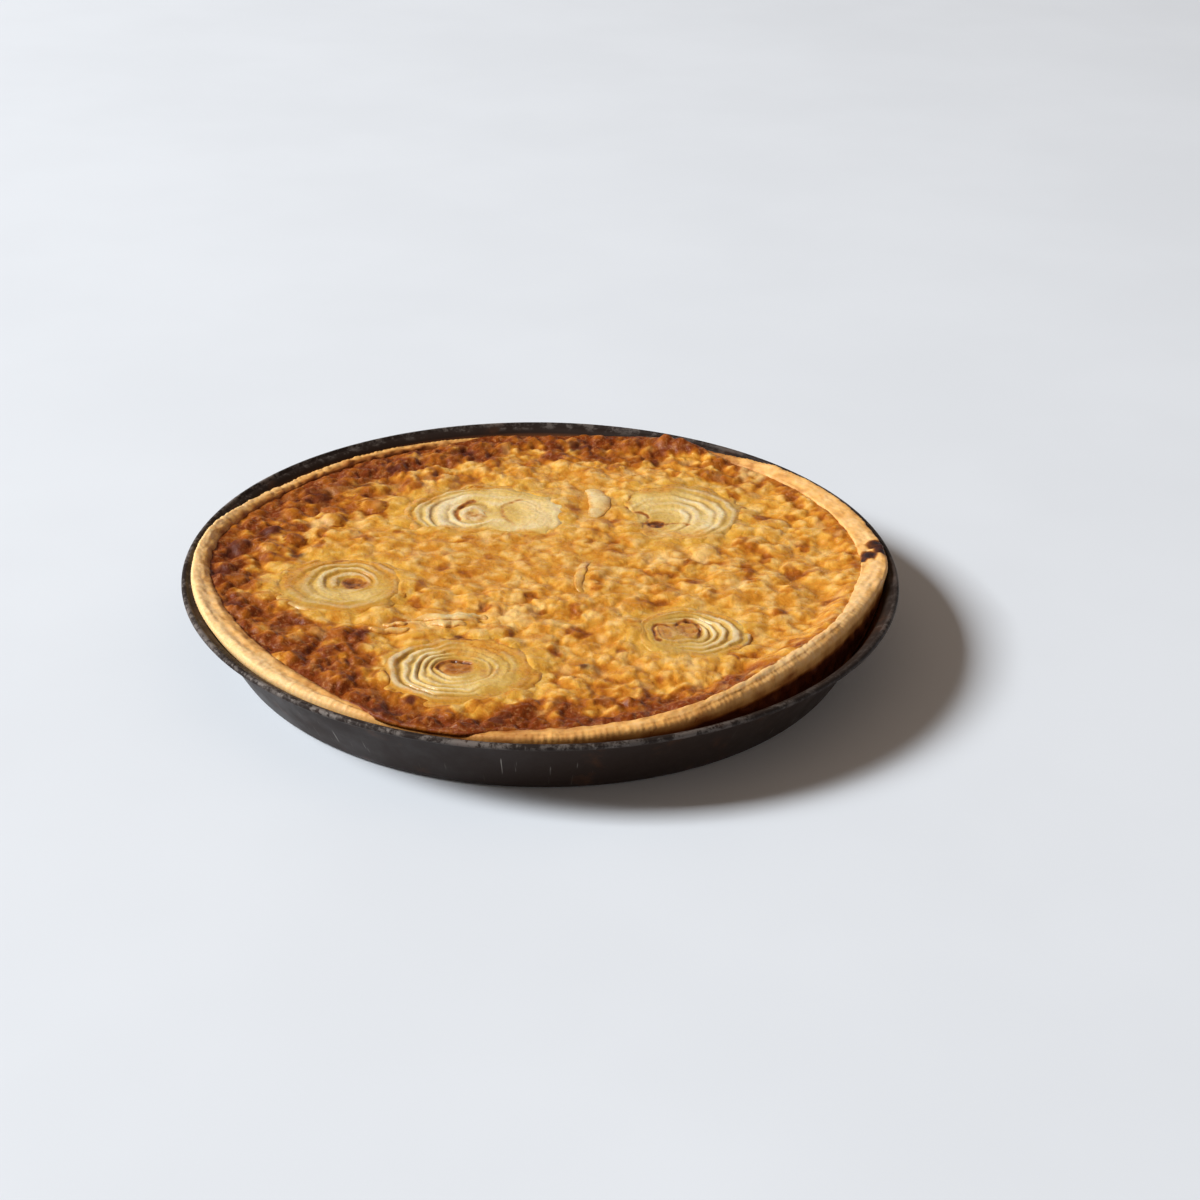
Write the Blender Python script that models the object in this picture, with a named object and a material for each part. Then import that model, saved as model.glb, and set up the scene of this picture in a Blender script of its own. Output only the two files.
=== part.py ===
# Onion quiche in its own dark round tin.
# Metres, +Z up. The origin is the centre of the tin's flat underside.
# +X is to the viewer's right and +Y is away from the viewer.

import math

import bmesh
import bpy
from mathutils import Vector, geometry, noise

# Tin, turned from thin steel sheet
RIM_RADIUS = 0.1400
TIN_HEIGHT = 0.0291
BASE_RADIUS = 0.1224
SHEET = 0.0010
BASE_CORNER = 0.0030
BASE_CHAMFER = 0.0008
WALL_TOP_RADIUS = 0.1352
WALL_TOP_HEIGHT = 0.0262
BRIM_UNDER_OUT = 0.0012
BRIM_UNDER_UP = 0.0007
BRIM_TOP_OUT = 0.0008
BRIM_TOP_UP = 0.0018
BEAD_RADIUS = 0.0012
BEAD_START = -90
BEAD_END = 150
BEAD_STEPS = 5

# Pastry case
SEGMENTS = 96
FIT_GAP = 0.0004
PASTRY = 0.0040
FLOOR_CORNER_RADIUS = 0.1198
FLOOR_CORNER_HEIGHT = 0.0034
FLOOR_CHAMFER = 0.0012
INNER_FLOOR_INSET = 0.0075
INNER_CORNER_INSET = 0.0035
INNER_CORNER_HEIGHT = 0.0075
MIDDLE_HEIGHT = 0.0140
INNER_MIDDLE_HEIGHT = 0.0200
INNER_MIDDLE_INSET = 0.0006
BRIM_GAP = 0.0005
RIM_EDGE = 0.0018
LIP_CHAMFER = 0.0011
CROWN = 0.0004
FLAKE = 0.0009
FLAKE_RATE = 0.21

# Custard
CUSTARD_LEVEL = 0.0270
WALL_DROP = 0.0022
TOP_DROP = 0.0014
WALL_RISE = 0.0006
OVER_PASTRY = 0.0010
EDGE_ROUND = 0.0004
EDGE_BLEND = 0.014
LUMP_SIZE = 0.0105
LUMP_HEIGHT = 0.0017
LUMP_REACH = 0.75
LUMP_MEAN = 0.45
SWELL_SIZE = 0.034
SWELL_HEIGHT = 0.0008
GRID_STEP = 0.0058
GRID_ROW = GRID_STEP * math.sqrt(3) / 2
GRID_JITTER = 0.0012
GRID_SHIFT_RATE = 311

# Smooth skin round the custard's middle: centre x and y, reach along x and y, share of the lumps it hides
CALM_SKIN = (-0.010, 0.010, 0.050, 0.026, 0.7)

# Blistered lump that stands over the tin's rim behind: centre x and y, reach along x and y, height
BACK_LUMP = (0.0600, 0.1200, 0.0110, 0.0080, 0.0048)

# Onion slices sunk in the custard
POCKET_DEPTH = 0.0060
POCKET_GAP = 0.0005
SLICE_STEPS = 36
WOBBLE = 0.045
RING_RELIEF = 0.0007
SLICE_PROUD = 0.0008
SLICE_EDGE_SINK = 0.0009

# Rim of the pastry, anticlockwise from +X: angle, outer radius, outer height, inner radius, inner height.
# Angles are in degrees and the rest in millimetres.
# The pastry shrank from the tin at the front right and stands high there.
RIM = (
    (0, 136.5, 31.0, 126.0, 30.0),
    (14, 136.6, 31.0, 127.5, 30.0),
    (28, 136.5, 31.0, 128.0, 29.5),
    (42, 135.5, 30.6, 129.0, 28.8),
    (54, 133.6, 28.6, 129.0, 27.6),
    (66, 133.0, 28.4, 128.0, 27.8),
    (78, 132.5, 25.6, 128.0, 25.2),
    (92, 132.5, 24.0, 128.0, 23.5),
    (106, 132.8, 25.3, 129.0, 24.4),
    (124, 133.2, 26.2, 129.0, 25.2),
    (144, 132.8, 26.6, 127.6, 25.7),
    (158, 134.2, 28.6, 129.0, 26.8),
    (170, 136.4, 30.4, 131.0, 28.0),
    (182, 136.4, 30.5, 130.0, 28.2),
    (196, 135.5, 30.4, 125.8, 28.0),
    (212, 134.2, 29.4, 123.4, 27.8),
    (228, 133.8, 29.0, 123.8, 27.6),
    (239, 132.9, 28.2, 127.4, 27.4),
    (252, 132.4, 26.8, 128.6, 26.2),
    (264, 133.0, 28.2, 127.6, 27.6),
    (278, 133.6, 29.4, 126.8, 29.0),
    (292, 132.2, 30.2, 126.6, 31.0),
    (304, 128.8, 31.6, 123.8, 32.8),
    (318, 126.8, 32.6, 121.0, 33.6),
    (334, 127.6, 32.6, 122.2, 32.8),
    (347, 131.4, 32.0, 122.6, 31.6),
)

# Where the custard has run over the pastry, in degrees: middle, half width
OVERFLOWS = ((80, 26), (252, 12))
OVERFLOW_RAMP = 16

# Onion slices: name, centre x and y, half width, half depth, turn in degrees, rings.
# Custard has run over one side of some: the last two are that side's direction in degrees and its distance.
SLICES = (
    ("onion_slice_back_left", -0.0240, 0.0465, 0.0365, 0.0305, 3, 6, 267, 0.0165),
    ("onion_slice_back_right", 0.0570, 0.0505, 0.0305, 0.0305, 0, 6, 190, 0.0215),
    ("onion_slice_left", -0.0780, -0.0180, 0.0288, 0.0265, -8, 5, 0, 0.0400),
    ("onion_slice_front", -0.0295, -0.0845, 0.0325, 0.0278, 0, 6, 0, 0.0400),
    ("onion_slice_right", 0.0565, -0.0545, 0.0230, 0.0210, -12, 5, 0, 0.0400),
)

# Loose onion layers on edge in the custard: name, arc centre x and y, radius, first and last angle, width
LAYERS = (
    ("onion_layer_back", 0.0030, 0.0600, 0.0205, -42, 44, 0.0068),
    ("onion_layer_middle", 0.0405, -0.0110, 0.0262, 138, 205, 0.0034),
    ("onion_layer_left", -0.0385, -0.0830, 0.0385, 66, 106, 0.0048),
    ("onion_layer_far_left", -0.0560, -0.0350, 0.0190, 244, 292, 0.0040),
)
LAYER_STEPS = 10
LAYER_TIP = 0.35
LAYER_TAPER = 0.6
LAYER_WAVE = 0.0006
LAYER_WAVES = 9
LAYER_RIDGE = ((-1, 0.0002), (0, 0.0014), (1, 0.0002))

# Colours
STEEL_COLOUR = (0.045, 0.038, 0.035, 1.0)
PASTRY_COLOUR = (0.72, 0.46, 0.20, 1.0)
CUSTARD_COLOUR = (0.72, 0.40, 0.10, 1.0)
ONION_COLOUR = (0.80, 0.62, 0.25, 1.0)


def clear_scene():
    for obj in list(bpy.data.objects):
        bpy.data.objects.remove(obj, do_unlink=True)


def new_material(name, colour, roughness, metallic=0.0):
    mat = bpy.data.materials.new(name)
    mat.use_nodes = True
    shader = mat.node_tree.nodes["Principled BSDF"]
    shader.inputs["Base Color"].default_value = colour
    shader.inputs["Roughness"].default_value = roughness
    shader.inputs["Metallic"].default_value = metallic
    return mat


def new_object(name, bm, mat, smooth_angle=35):
    bmesh.ops.recalc_face_normals(bm, faces=bm.faces)
    mesh = bpy.data.meshes.new(name)
    bm.to_mesh(mesh)
    bm.free()
    mesh.materials.append(mat)
    mesh.shade_smooth()
    mesh.set_sharp_from_angle(angle=math.radians(smooth_angle))
    obj = bpy.data.objects.new(name, mesh)
    bpy.context.collection.objects.link(obj)
    return obj


def blend(low, high, value):
    t = min(1.0, max(0.0, (value - low) / (high - low)))
    return t * t * (3 - 2 * t)


def mix(a, b, t):
    return a + (b - a) * t


def rim_at(degrees):
    # Smooth closed curve through the rows of RIM: outer radius, outer height, inner radius, inner height
    degrees %= 360
    count = len(RIM)
    after = next((i for i, row in enumerate(RIM) if row[0] > degrees), count)
    rows = [RIM[(after + k) % count] for k in (-2, -1, 0, 1)]
    start = RIM[after - 1][0]
    end = RIM[after][0] if after < count else 360
    t = (degrees - start) / (end - start)
    values = []
    for a, b, c, d in zip(*(row[1:] for row in rows)):
        value = 2 * b + (c - a) * t + (2 * a - 5 * b + 4 * c - d) * t ** 2 + (3 * b - a - 3 * c + d) * t ** 3
        values.append(value / 2000)
    return values


def overflow_at(degrees):
    amount = 0.0
    for middle, half in OVERFLOWS:
        away = abs((degrees - middle + 180) % 360 - 180)
        amount = max(amount, 1 - blend(half - OVERFLOW_RAMP / 2, half + OVERFLOW_RAMP / 2, away))
    return amount


def wall_radius(height):
    # Inner face of the tin's flared wall
    slope = (WALL_TOP_RADIUS - BASE_RADIUS) / (WALL_TOP_HEIGHT - BASE_CORNER)
    return BASE_RADIUS - SHEET + slope * (height - BASE_CORNER)


def tin_profile():
    # Underside, outer wall, brim with its rolled bead, and back down the inner wall
    bead_x = RIM_RADIUS - BEAD_RADIUS
    bead_z = TIN_HEIGHT - BEAD_RADIUS
    points = [
        (0, 0),
        (BASE_RADIUS - BASE_CORNER, 0),
        (BASE_RADIUS - BASE_CHAMFER, BASE_CHAMFER),
        (BASE_RADIUS, BASE_CORNER),
        (WALL_TOP_RADIUS, WALL_TOP_HEIGHT),
        (WALL_TOP_RADIUS + BRIM_UNDER_OUT, WALL_TOP_HEIGHT + BRIM_UNDER_UP),
    ]
    for k in range(BEAD_STEPS):
        angle = math.radians(mix(BEAD_START, BEAD_END, k / (BEAD_STEPS - 1)))
        points.append((bead_x + BEAD_RADIUS * math.cos(angle), bead_z + BEAD_RADIUS * math.sin(angle)))
    points += [
        (WALL_TOP_RADIUS + BRIM_TOP_OUT, WALL_TOP_HEIGHT + BRIM_TOP_UP),
        (WALL_TOP_RADIUS - SHEET, WALL_TOP_HEIGHT),
        (BASE_RADIUS - SHEET, BASE_CORNER),
        (BASE_RADIUS - BASE_CORNER, SHEET),
        (0, SHEET),
    ]
    return points


def make_tin():
    bm = bmesh.new()
    verts = [bm.verts.new((x, 0, z)) for x, z in tin_profile()]
    edges = [bm.edges.new(pair) for pair in zip(verts, verts[1:])]
    bmesh.ops.spin(
        bm,
        geom=verts + edges,
        axis=(0, 0, 1),
        cent=(0, 0, 0),
        steps=SEGMENTS,
        angle=math.tau,
        use_merge=True,
    )
    bmesh.ops.remove_doubles(bm, verts=bm.verts, dist=1e-6)
    return new_object("tin", bm, new_material("dark_steel", STEEL_COLOUR, 0.42, 0.6))


def pastry_profile(degrees):
    # Section of the pastry case, from under its floor round the rim to the top of its floor
    outer, outer_top, inner, inner_top = rim_at(degrees)
    covered = overflow_at(degrees)
    flake = FLAKE * (1 - covered) * noise.noise(Vector((FLAKE_RATE * degrees, 0.5, outer_top)))
    crown = CROWN * (1 - covered) + flake

    def outside(height):
        return min(wall_radius(height) - FIT_GAP, outer)

    # The rim's underside stays above the tin's brim, which slopes up and out from the top of the wall
    over_brim = WALL_TOP_HEIGHT + outer - (WALL_TOP_RADIUS - SHEET) + BRIM_GAP
    lip_low = max(outer_top - RIM_EDGE, over_brim)
    bend = min(WALL_TOP_HEIGHT - FIT_GAP, lip_low - 2 * FIT_GAP)
    return [
        (FLOOR_CORNER_RADIUS - FLOOR_CHAMFER, SHEET + FIT_GAP),
        (FLOOR_CORNER_RADIUS, FLOOR_CORNER_HEIGHT),
        (outside(MIDDLE_HEIGHT), MIDDLE_HEIGHT),
        (outside(bend), bend),
        (outer, lip_low),
        (outer - LIP_CHAMFER - flake, outer_top),
        (mix(inner, outer, 0.5), mix(inner_top, outer_top, 0.55) + crown),
        (inner, inner_top),
        (min(inner - INNER_MIDDLE_INSET, outside(INNER_MIDDLE_HEIGHT) - PASTRY), INNER_MIDDLE_HEIGHT),
        (FLOOR_CORNER_RADIUS - INNER_CORNER_INSET, INNER_CORNER_HEIGHT),
        (FLOOR_CORNER_RADIUS - INNER_FLOOR_INSET, SHEET + FIT_GAP + PASTRY),
    ]


def ring_skin(bm, profiles, low_centre, high_centre):
    # Quads round the sections, closed by a fan below and, if given, one above
    count = len(profiles)
    rings = []
    for k, profile in enumerate(profiles):
        angle = math.tau * k / count
        rings.append([bm.verts.new((r * math.cos(angle), r * math.sin(angle), z)) for r, z in profile])
    for k in range(count):
        here, after = rings[k], rings[(k + 1) % count]
        for j in range(len(here) - 1):
            bm.faces.new((here[j], after[j], after[j + 1], here[j + 1]))
    for centre, end in ((low_centre, 0), (high_centre, -1)):
        if centre is None:
            continue
        middle = bm.verts.new((0, 0, centre))
        for k in range(count):
            bm.faces.new((middle, rings[k][end], rings[(k + 1) % count][end]))
    return rings


def make_pastry():
    bm = bmesh.new()
    profiles = [pastry_profile(360 * k / SEGMENTS) for k in range(SEGMENTS)]
    ring_skin(bm, profiles, SHEET + FIT_GAP, SHEET + FIT_GAP + PASTRY)
    return new_object("pastry_case", bm, new_material("baked_pastry", PASTRY_COLOUR, 0.7))


def custard_profile(degrees):
    # Section of the custard's underside and wall, ending at the edge of its top face
    outer, outer_top, inner, inner_top = rim_at(degrees)
    pastry = pastry_profile(degrees)
    covered = overflow_at(degrees)
    rise = blend(0.0, 0.5, covered)
    reach = blend(0.5, 1.0, covered)
    wall_r, wall_z = pastry[8]
    corner_r, corner_z = pastry[9]
    floor_r, floor_z = pastry[10]
    lean = (inner - wall_r) / (inner_top - wall_z)

    def beside_pastry(drop, gap):
        # Just inside the pastry's inner face, drop below its inner edge
        return inner - lean * drop - gap * math.hypot(1, lean)

    # Where the custard has run over the pastry its edge rises, then reaches out over the rim
    low_r = beside_pastry(mix(WALL_DROP, 0, rise), 1.5 * FIT_GAP)
    top_r = beside_pastry(mix(TOP_DROP, 0, rise), 2 * FIT_GAP)
    over_top = mix(inner_top, outer_top, reach) + OVER_PASTRY
    return [
        (floor_r - FIT_GAP, floor_z + FIT_GAP),
        (corner_r - 2 * FIT_GAP, corner_z + FIT_GAP),
        (wall_r - 1.5 * FIT_GAP, wall_z),
        (low_r, inner_top + mix(-WALL_DROP, WALL_RISE, rise)),
        (mix(top_r, outer, reach), mix(inner_top - TOP_DROP, over_top, rise)),
    ]


def edge_at(degrees):
    return custard_profile(degrees)[-1]


def bell(x, y, cx, cy, reach_x, reach_y):
    # 1 at the centre, falling smoothly to 0 beyond its reach
    return math.exp(-((x - cx) / reach_x) ** 2 - ((y - cy) / reach_y) ** 2)


def lumps(x, y):
    # Rounded lumps of browned custard, low in the smooth skin
    calm = CALM_SKIN[4] * bell(x, y, *CALM_SKIN[:4])
    distance = noise.voronoi(Vector((x, y, 0.013)) / LUMP_SIZE)[0][0]
    dome = max(0.0, 1 - (distance / LUMP_REACH) ** 2)
    swell = noise.noise(Vector((x, y, 0.0)) / SWELL_SIZE)
    return LUMP_HEIGHT * (1 - calm) * (dome - LUMP_MEAN) + SWELL_HEIGHT * swell


def back_lump(x, y):
    return BACK_LUMP[4] * bell(x, y, *BACK_LUMP[:4])


def custard_top(x, y):
    radius = math.hypot(x, y)
    degrees = math.degrees(math.atan2(y, x)) % 360
    edge_r, edge_z = edge_at(degrees)
    inside = blend(0, EDGE_BLEND, edge_r - radius)
    rough = blend(-0.001, 0.004, edge_r - radius)
    level = mix(edge_z + EDGE_ROUND * rough, CUSTARD_LEVEL, inside)
    return level + rough * (lumps(x, y) + back_lump(x, y))


def slice_point(piece, angle, scale=1.0, extra=0.0):
    # A point on the uneven oval outline of a slice, scaled towards its centre or pushed out by a gap
    cx, cy, half_x, half_y, turn = piece[1:6]
    cut_angle, cut_distance = piece[7:]
    bearing = angle - math.radians(turn)
    wobble = 1 + WOBBLE * noise.noise(Vector((2 * math.cos(angle), 2 * math.sin(angle), 40 * cx)))
    radius = wobble * half_x * half_y / math.hypot(half_y * math.cos(bearing), half_x * math.sin(bearing))
    facing = math.cos(angle - math.radians(cut_angle))
    if facing > 0:
        radius = min(radius, cut_distance / facing)
    radius = radius * scale + extra
    return cx + radius * math.cos(angle), cy + radius * math.sin(angle)


def slice_outline(piece, extra=0.0):
    return [slice_point(piece, math.tau * k / SLICE_STEPS, 1.0, extra) for k in range(SLICE_STEPS)]


def layer_point(layer, t, side, extra=0.0):
    # A point beside the middle line of a loose layer, t from 0 to 1 along it and side from -1 to 1 across
    cx, cy, radius, start, end, width = layer[1:]
    length = radius * math.radians(abs(end - start))
    angle = math.radians(mix(start, end, -extra / length + t * (1 + 2 * extra / length)))
    taper = math.sin(math.pi * min(1, max(0, t))) ** LAYER_TAPER
    half = width / 2 * mix(LAYER_TIP, 1, taper) + extra
    r = radius + side * half + LAYER_WAVE * math.sin(LAYER_WAVES * t)
    return cx + r * math.cos(angle), cy + r * math.sin(angle)


def layer_outline(layer, extra=0.0):
    steps = [k / LAYER_STEPS for k in range(LAYER_STEPS + 1)]
    outer = [layer_point(layer, t, 1, extra) for t in steps]
    inner = [layer_point(layer, t, -1, extra) for t in reversed(steps)]
    return outer + inner


def pocket_floor(outline):
    return min(custard_top(x, y) for x, y in outline) - POCKET_DEPTH


def inside_outline(x, y, outline):
    within = False
    for (ax, ay), (bx, by) in zip(outline, outline[1:] + outline[:1]):
        if (ay > y) != (by > y) and x < (bx - ax) * (y - ay) / (by - ay) + ax:
            within = not within
    return within


def near_outline(x, y, outline, distance):
    return any(math.hypot(x - px, y - py) < distance for px, py in outline)


def grid_points(edge, outlines):
    # Staggered grid over the top face, each point moved a little, clear of the edge and of the pockets
    points = []
    rows = int(RIM_RADIUS / GRID_ROW) + 1
    for row in range(-rows, rows + 1):
        for column in range(-rows, rows + 1):
            x = (column + 0.5 * (row % 2)) * GRID_STEP
            y = row * GRID_ROW
            shift = GRID_JITTER * noise.noise_vector(Vector((x, y, 0.007)) * GRID_SHIFT_RATE)
            x += shift.x
            y += shift.y
            if not inside_outline(x, y, edge) or near_outline(x, y, edge, 0.55 * GRID_STEP):
                continue
            if any(inside_outline(x, y, o) or near_outline(x, y, o, 0.5 * GRID_STEP) for o in outlines):
                continue
            points.append((x, y))
    return points


def make_custard():
    bm = bmesh.new()
    profiles = [custard_profile(360 * k / SEGMENTS) for k in range(SEGMENTS)]
    rings = ring_skin(bm, profiles, SHEET + 2 * FIT_GAP + PASTRY, None)
    edge_verts = [ring[-1] for ring in rings]
    edge = [(v.co.x, v.co.y) for v in edge_verts]
    outlines = [slice_outline(piece, POCKET_GAP) for piece in SLICES]
    outlines += [layer_outline(layer, POCKET_GAP) for layer in LAYERS]

    # One flat triangulation of the whole top, with the edge and every pocket's outline as fixed lines
    flat = list(edge)
    lines = [(k, (k + 1) % SEGMENTS) for k in range(SEGMENTS)]
    for outline in outlines:
        first = len(flat)
        flat += outline
        lines += [(first + k, first + (k + 1) % len(outline)) for k in range(len(outline))]
    flat += grid_points(edge, outlines)
    found, _, faces, sources, _, _ = geometry.delaunay_2d_cdt([Vector(p) for p in flat], lines, [], 1, 1e-7)

    top = []
    for point, source in zip(found, sources):
        if source and source[0] < SEGMENTS:
            top.append(edge_verts[source[0]])
        else:
            top.append(bm.verts.new((point.x, point.y, custard_top(point.x, point.y))))
    floors = [pocket_floor(outline) for outline in outlines]
    sunk = [{} for _ in outlines]
    for face in faces:
        cx = sum(found[i].x for i in face) / 3
        cy = sum(found[i].y for i in face) / 3
        pocket = next((k for k, o in enumerate(outlines) if inside_outline(cx, cy, o)), None)
        if pocket is None:
            bm.faces.new([top[i] for i in face])
            continue
        for i in face:
            if i not in sunk[pocket]:
                sunk[pocket][i] = bm.verts.new((found[i].x, found[i].y, floors[pocket]))
        bm.faces.new([sunk[pocket][i] for i in face])
    place = {source[0]: i for i, source in enumerate(sources) if source}
    for a, b in lines[SEGMENTS:]:
        i, j = place[a], place[b]
        pocket = next(k for k, low in enumerate(sunk) if i in low and j in low)
        bm.faces.new((top[i], top[j], sunk[pocket][j], sunk[pocket][i]))
    return new_object("custard_filling", bm, new_material("baked_custard", CUSTARD_COLOUR, 0.45), 60)


def make_slice(piece, mat):
    # Concentric onion rings as ridges on a thick oval disc
    name, cx, cy = piece[:3]
    rings = piece[6]
    bm = bmesh.new()
    low = pocket_floor(slice_outline(piece, POCKET_GAP)) + FIT_GAP
    levels = 2 * rings
    loops = []
    for j in range(levels, 0, -1):
        loop = []
        for k in range(SLICE_STEPS):
            x, y = slice_point(piece, math.tau * k / SLICE_STEPS, j / levels)
            ridge = RING_RELIEF if j % 2 else -RING_RELIEF
            sink = SLICE_EDGE_SINK if j == levels else 0.0
            loop.append(bm.verts.new((x, y, custard_top(x, y) + SLICE_PROUD + ridge - sink)))
        loops.append(loop)
    bottom = [bm.verts.new((x, y, low)) for x, y in slice_outline(piece)]
    for here, after in zip([bottom] + loops, loops):
        for k in range(SLICE_STEPS):
            n = (k + 1) % SLICE_STEPS
            bm.faces.new((here[k], here[n], after[n], after[k]))
    heart = bm.verts.new((cx, cy, custard_top(cx, cy) + SLICE_PROUD))
    for k in range(SLICE_STEPS):
        bm.faces.new((heart, loops[-1][k], loops[-1][(k + 1) % SLICE_STEPS]))
    bm.faces.new(bottom)
    return new_object(name, bm, mat, 60)


def make_layer(layer, mat):
    # A loose curved onion layer, standing a little out of the custard
    bm = bmesh.new()
    low = pocket_floor(layer_outline(layer, POCKET_GAP)) + FIT_GAP
    sections = []
    for k in range(LAYER_STEPS + 1):
        t = k / LAYER_STEPS
        section = []
        for side, lift in LAYER_RIDGE:
            x, y = layer_point(layer, t, side)
            section.append(bm.verts.new((x, y, custard_top(x, y) + lift)))
        section += [bm.verts.new((*layer_point(layer, t, side), low)) for side in (1, -1)]
        sections.append(section)
    for here, after in zip(sections, sections[1:]):
        for j in range(5):
            n = (j + 1) % 5
            bm.faces.new((here[j], here[n], after[n], after[j]))
    bm.faces.new(sections[0])
    bm.faces.new(sections[-1])
    return new_object(layer[0], bm, mat, 60)


def main():
    clear_scene()
    make_tin()
    make_pastry()
    make_custard()
    onion = new_material("baked_onion", ONION_COLOUR, 0.35)
    for piece in SLICES:
        make_slice(piece, onion)
    for layer in LAYERS:
        make_layer(layer, onion)


main()
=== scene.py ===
import math

import bpy
import numpy as np
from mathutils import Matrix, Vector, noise


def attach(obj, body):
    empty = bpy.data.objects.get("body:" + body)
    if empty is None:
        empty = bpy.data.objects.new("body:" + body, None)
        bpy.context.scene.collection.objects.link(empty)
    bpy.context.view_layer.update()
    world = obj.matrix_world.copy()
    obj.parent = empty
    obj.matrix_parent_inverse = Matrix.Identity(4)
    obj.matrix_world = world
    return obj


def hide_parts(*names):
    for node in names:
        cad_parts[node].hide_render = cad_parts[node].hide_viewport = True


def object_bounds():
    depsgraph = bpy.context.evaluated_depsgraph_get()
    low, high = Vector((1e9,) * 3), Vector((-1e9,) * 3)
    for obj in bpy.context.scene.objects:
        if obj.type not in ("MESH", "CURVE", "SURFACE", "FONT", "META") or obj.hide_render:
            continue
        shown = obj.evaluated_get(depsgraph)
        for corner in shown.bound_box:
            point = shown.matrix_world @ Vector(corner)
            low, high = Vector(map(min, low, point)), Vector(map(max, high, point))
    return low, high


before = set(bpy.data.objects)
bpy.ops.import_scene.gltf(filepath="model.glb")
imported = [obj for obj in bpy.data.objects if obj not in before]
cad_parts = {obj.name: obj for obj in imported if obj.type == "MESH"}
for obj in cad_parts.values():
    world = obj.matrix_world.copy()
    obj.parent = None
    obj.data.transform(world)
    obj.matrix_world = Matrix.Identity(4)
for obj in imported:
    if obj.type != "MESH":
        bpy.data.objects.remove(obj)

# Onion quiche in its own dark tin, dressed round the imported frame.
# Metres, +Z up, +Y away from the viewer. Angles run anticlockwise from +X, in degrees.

cadLow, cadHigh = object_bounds()
print("frame loaded,", len(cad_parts), "nodes")


# Number helpers

def smooth(low, high, value):
    t = np.clip((value - low) / (high - low), 0, 1)
    return t * t * (3 - 2 * t)


def between(value, start, full, fade, end):  # 0 at start, 1 from full to fade, 0 again at end
    return smooth(start, full, value) * (1 - smooth(fade, end, value))


def mix(a, b, t):
    return a + (b - a) * t


def hill(x, y, cx, cy, reachX, reachY):  # 1 at the centre, 0 well outside
    return np.exp(-((x - cx) / reachX) ** 2 - ((y - cy) / reachY) ** 2)


def spotShare(x, y, cx, cy, radius):  # 0 at a spot's centre, 1 at its edge
    return np.hypot(x - cx, y - cy) / radius


def turnedFrom(degrees, middle):  # how far an angle is from another, 0 to 180
    return np.abs(np.mod(degrees - middle + 180, 360) - 180)


def inMetres(rows, lengths, perMetre):  # the first few values of every row are lengths
    return [(*(value / perMetre for value in row[:lengths]), *row[lengths:]) for row in rows]


def sample(pick, x, y, size, seed):
    spots = zip(np.ravel(x / size), np.ravel(y / size))
    return np.reshape([pick((a, b, seed)) for a, b in spots], np.shape(x))


def waves(x, y, size, seed=0.0):  # soft noise, about -1 to 1
    return sample(noise.noise, x, y, size, seed)


def domes(x, y, size, reach, seed=0.0):  # round lumps, 1 on top and 0 between them
    values = sample(lambda spot: noise.voronoi(spot)[0][0], x, y, size, seed)
    return np.clip(1 - (values / reach) ** 2, 0, 1)


def roundTable(rows, degrees):  # smooth closed curve through rows that start with an angle
    rows = np.array(rows, float)
    angles, count = rows[:, 0], len(rows)
    degrees = np.mod(degrees, 360)
    after = np.searchsorted(angles, degrees, side="right")
    a, b, c, d = (rows[(after + k) % count, 1:] for k in (-2, -1, 0, 1))
    start = angles[after - 1]
    end = np.where(after < count, angles[after % count], 360 + angles[0])
    t = ((degrees - start) / (end - start))[..., None]
    values = 2 * b + (c - a) * t + (2 * a - 5 * b + 4 * c - d) * t ** 2 + (3 * b - a - 3 * c + d) * t ** 3
    return np.moveaxis(values / 2, -1, 0)


# Mesh helpers

def addObject(name, data):
    added = bpy.data.objects.new(name, data)
    bpy.context.scene.collection.objects.link(added)
    return added


def addPiece(name, points, faces, material, replaced, fields):
    mesh = bpy.data.meshes.new(name)
    mesh.from_pydata(np.asarray(points).tolist(), [], faces)
    for fieldName, values in fields.items():
        field = mesh.attributes.new(fieldName, "FLOAT", "POINT")
        field.data.foreach_set("value", np.asarray(values, np.float32).ravel())
    mesh.materials.append(material)
    mesh.shade_smooth()
    piece = addObject(name, mesh)
    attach(piece, "root")
    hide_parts(*replaced)
    print("made", name, len(mesh.polygons), "faces")


def asPoints(x, y, z):
    return np.stack([x, y, z], axis=-1).reshape(-1, 3).tolist()


def ringPoints(radius, height, theta):
    return np.c_[radius * np.cos(theta), radius * np.sin(theta), height + 0 * theta].tolist()


def ringNumbers(count, around, first=0):  # point numbers of closed rings laid out one after another
    return np.arange(first, first + count * around).reshape(count, around).tolist()


def bandFaces(rings, turned=False):  # quads between closed rings, turned to face the other way
    faces = []
    for low, high in zip(rings, rings[1:]):
        for a, b, c, d in zip(low, low[1:] + low[:1], high[1:] + high[:1], high):
            faces.append((a, d, c, b) if turned else (a, b, c, d))
    return faces


def capFaces(ring, middle, up=True):  # triangles from a closed ring to its middle point
    turned = ring[1:] + ring[:1]
    return [(a, b, middle) if up else (b, a, middle) for a, b in zip(ring, turned)]


def spunFaces(count, around):  # rings closed by a middle point at both ends
    rings = ringNumbers(count, around)
    middle = count * around
    return bandFaces(rings) + capFaces(rings[0], middle, up=False) + capFaces(rings[-1], middle + 1)


# Material helpers

def plug(tree, socket, value):
    if isinstance(value, bpy.types.NodeSocket):
        tree.links.new(value, socket)
    else:
        socket.default_value = value


def addNode(tree, kind, inputs=None, **settings):
    node = tree.nodes.new("ShaderNode" + kind)
    for key, value in settings.items():
        setattr(node, key, value)
    for key, value in (inputs or {}).items():
        plug(tree, node.inputs[key], value)
    return node


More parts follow.
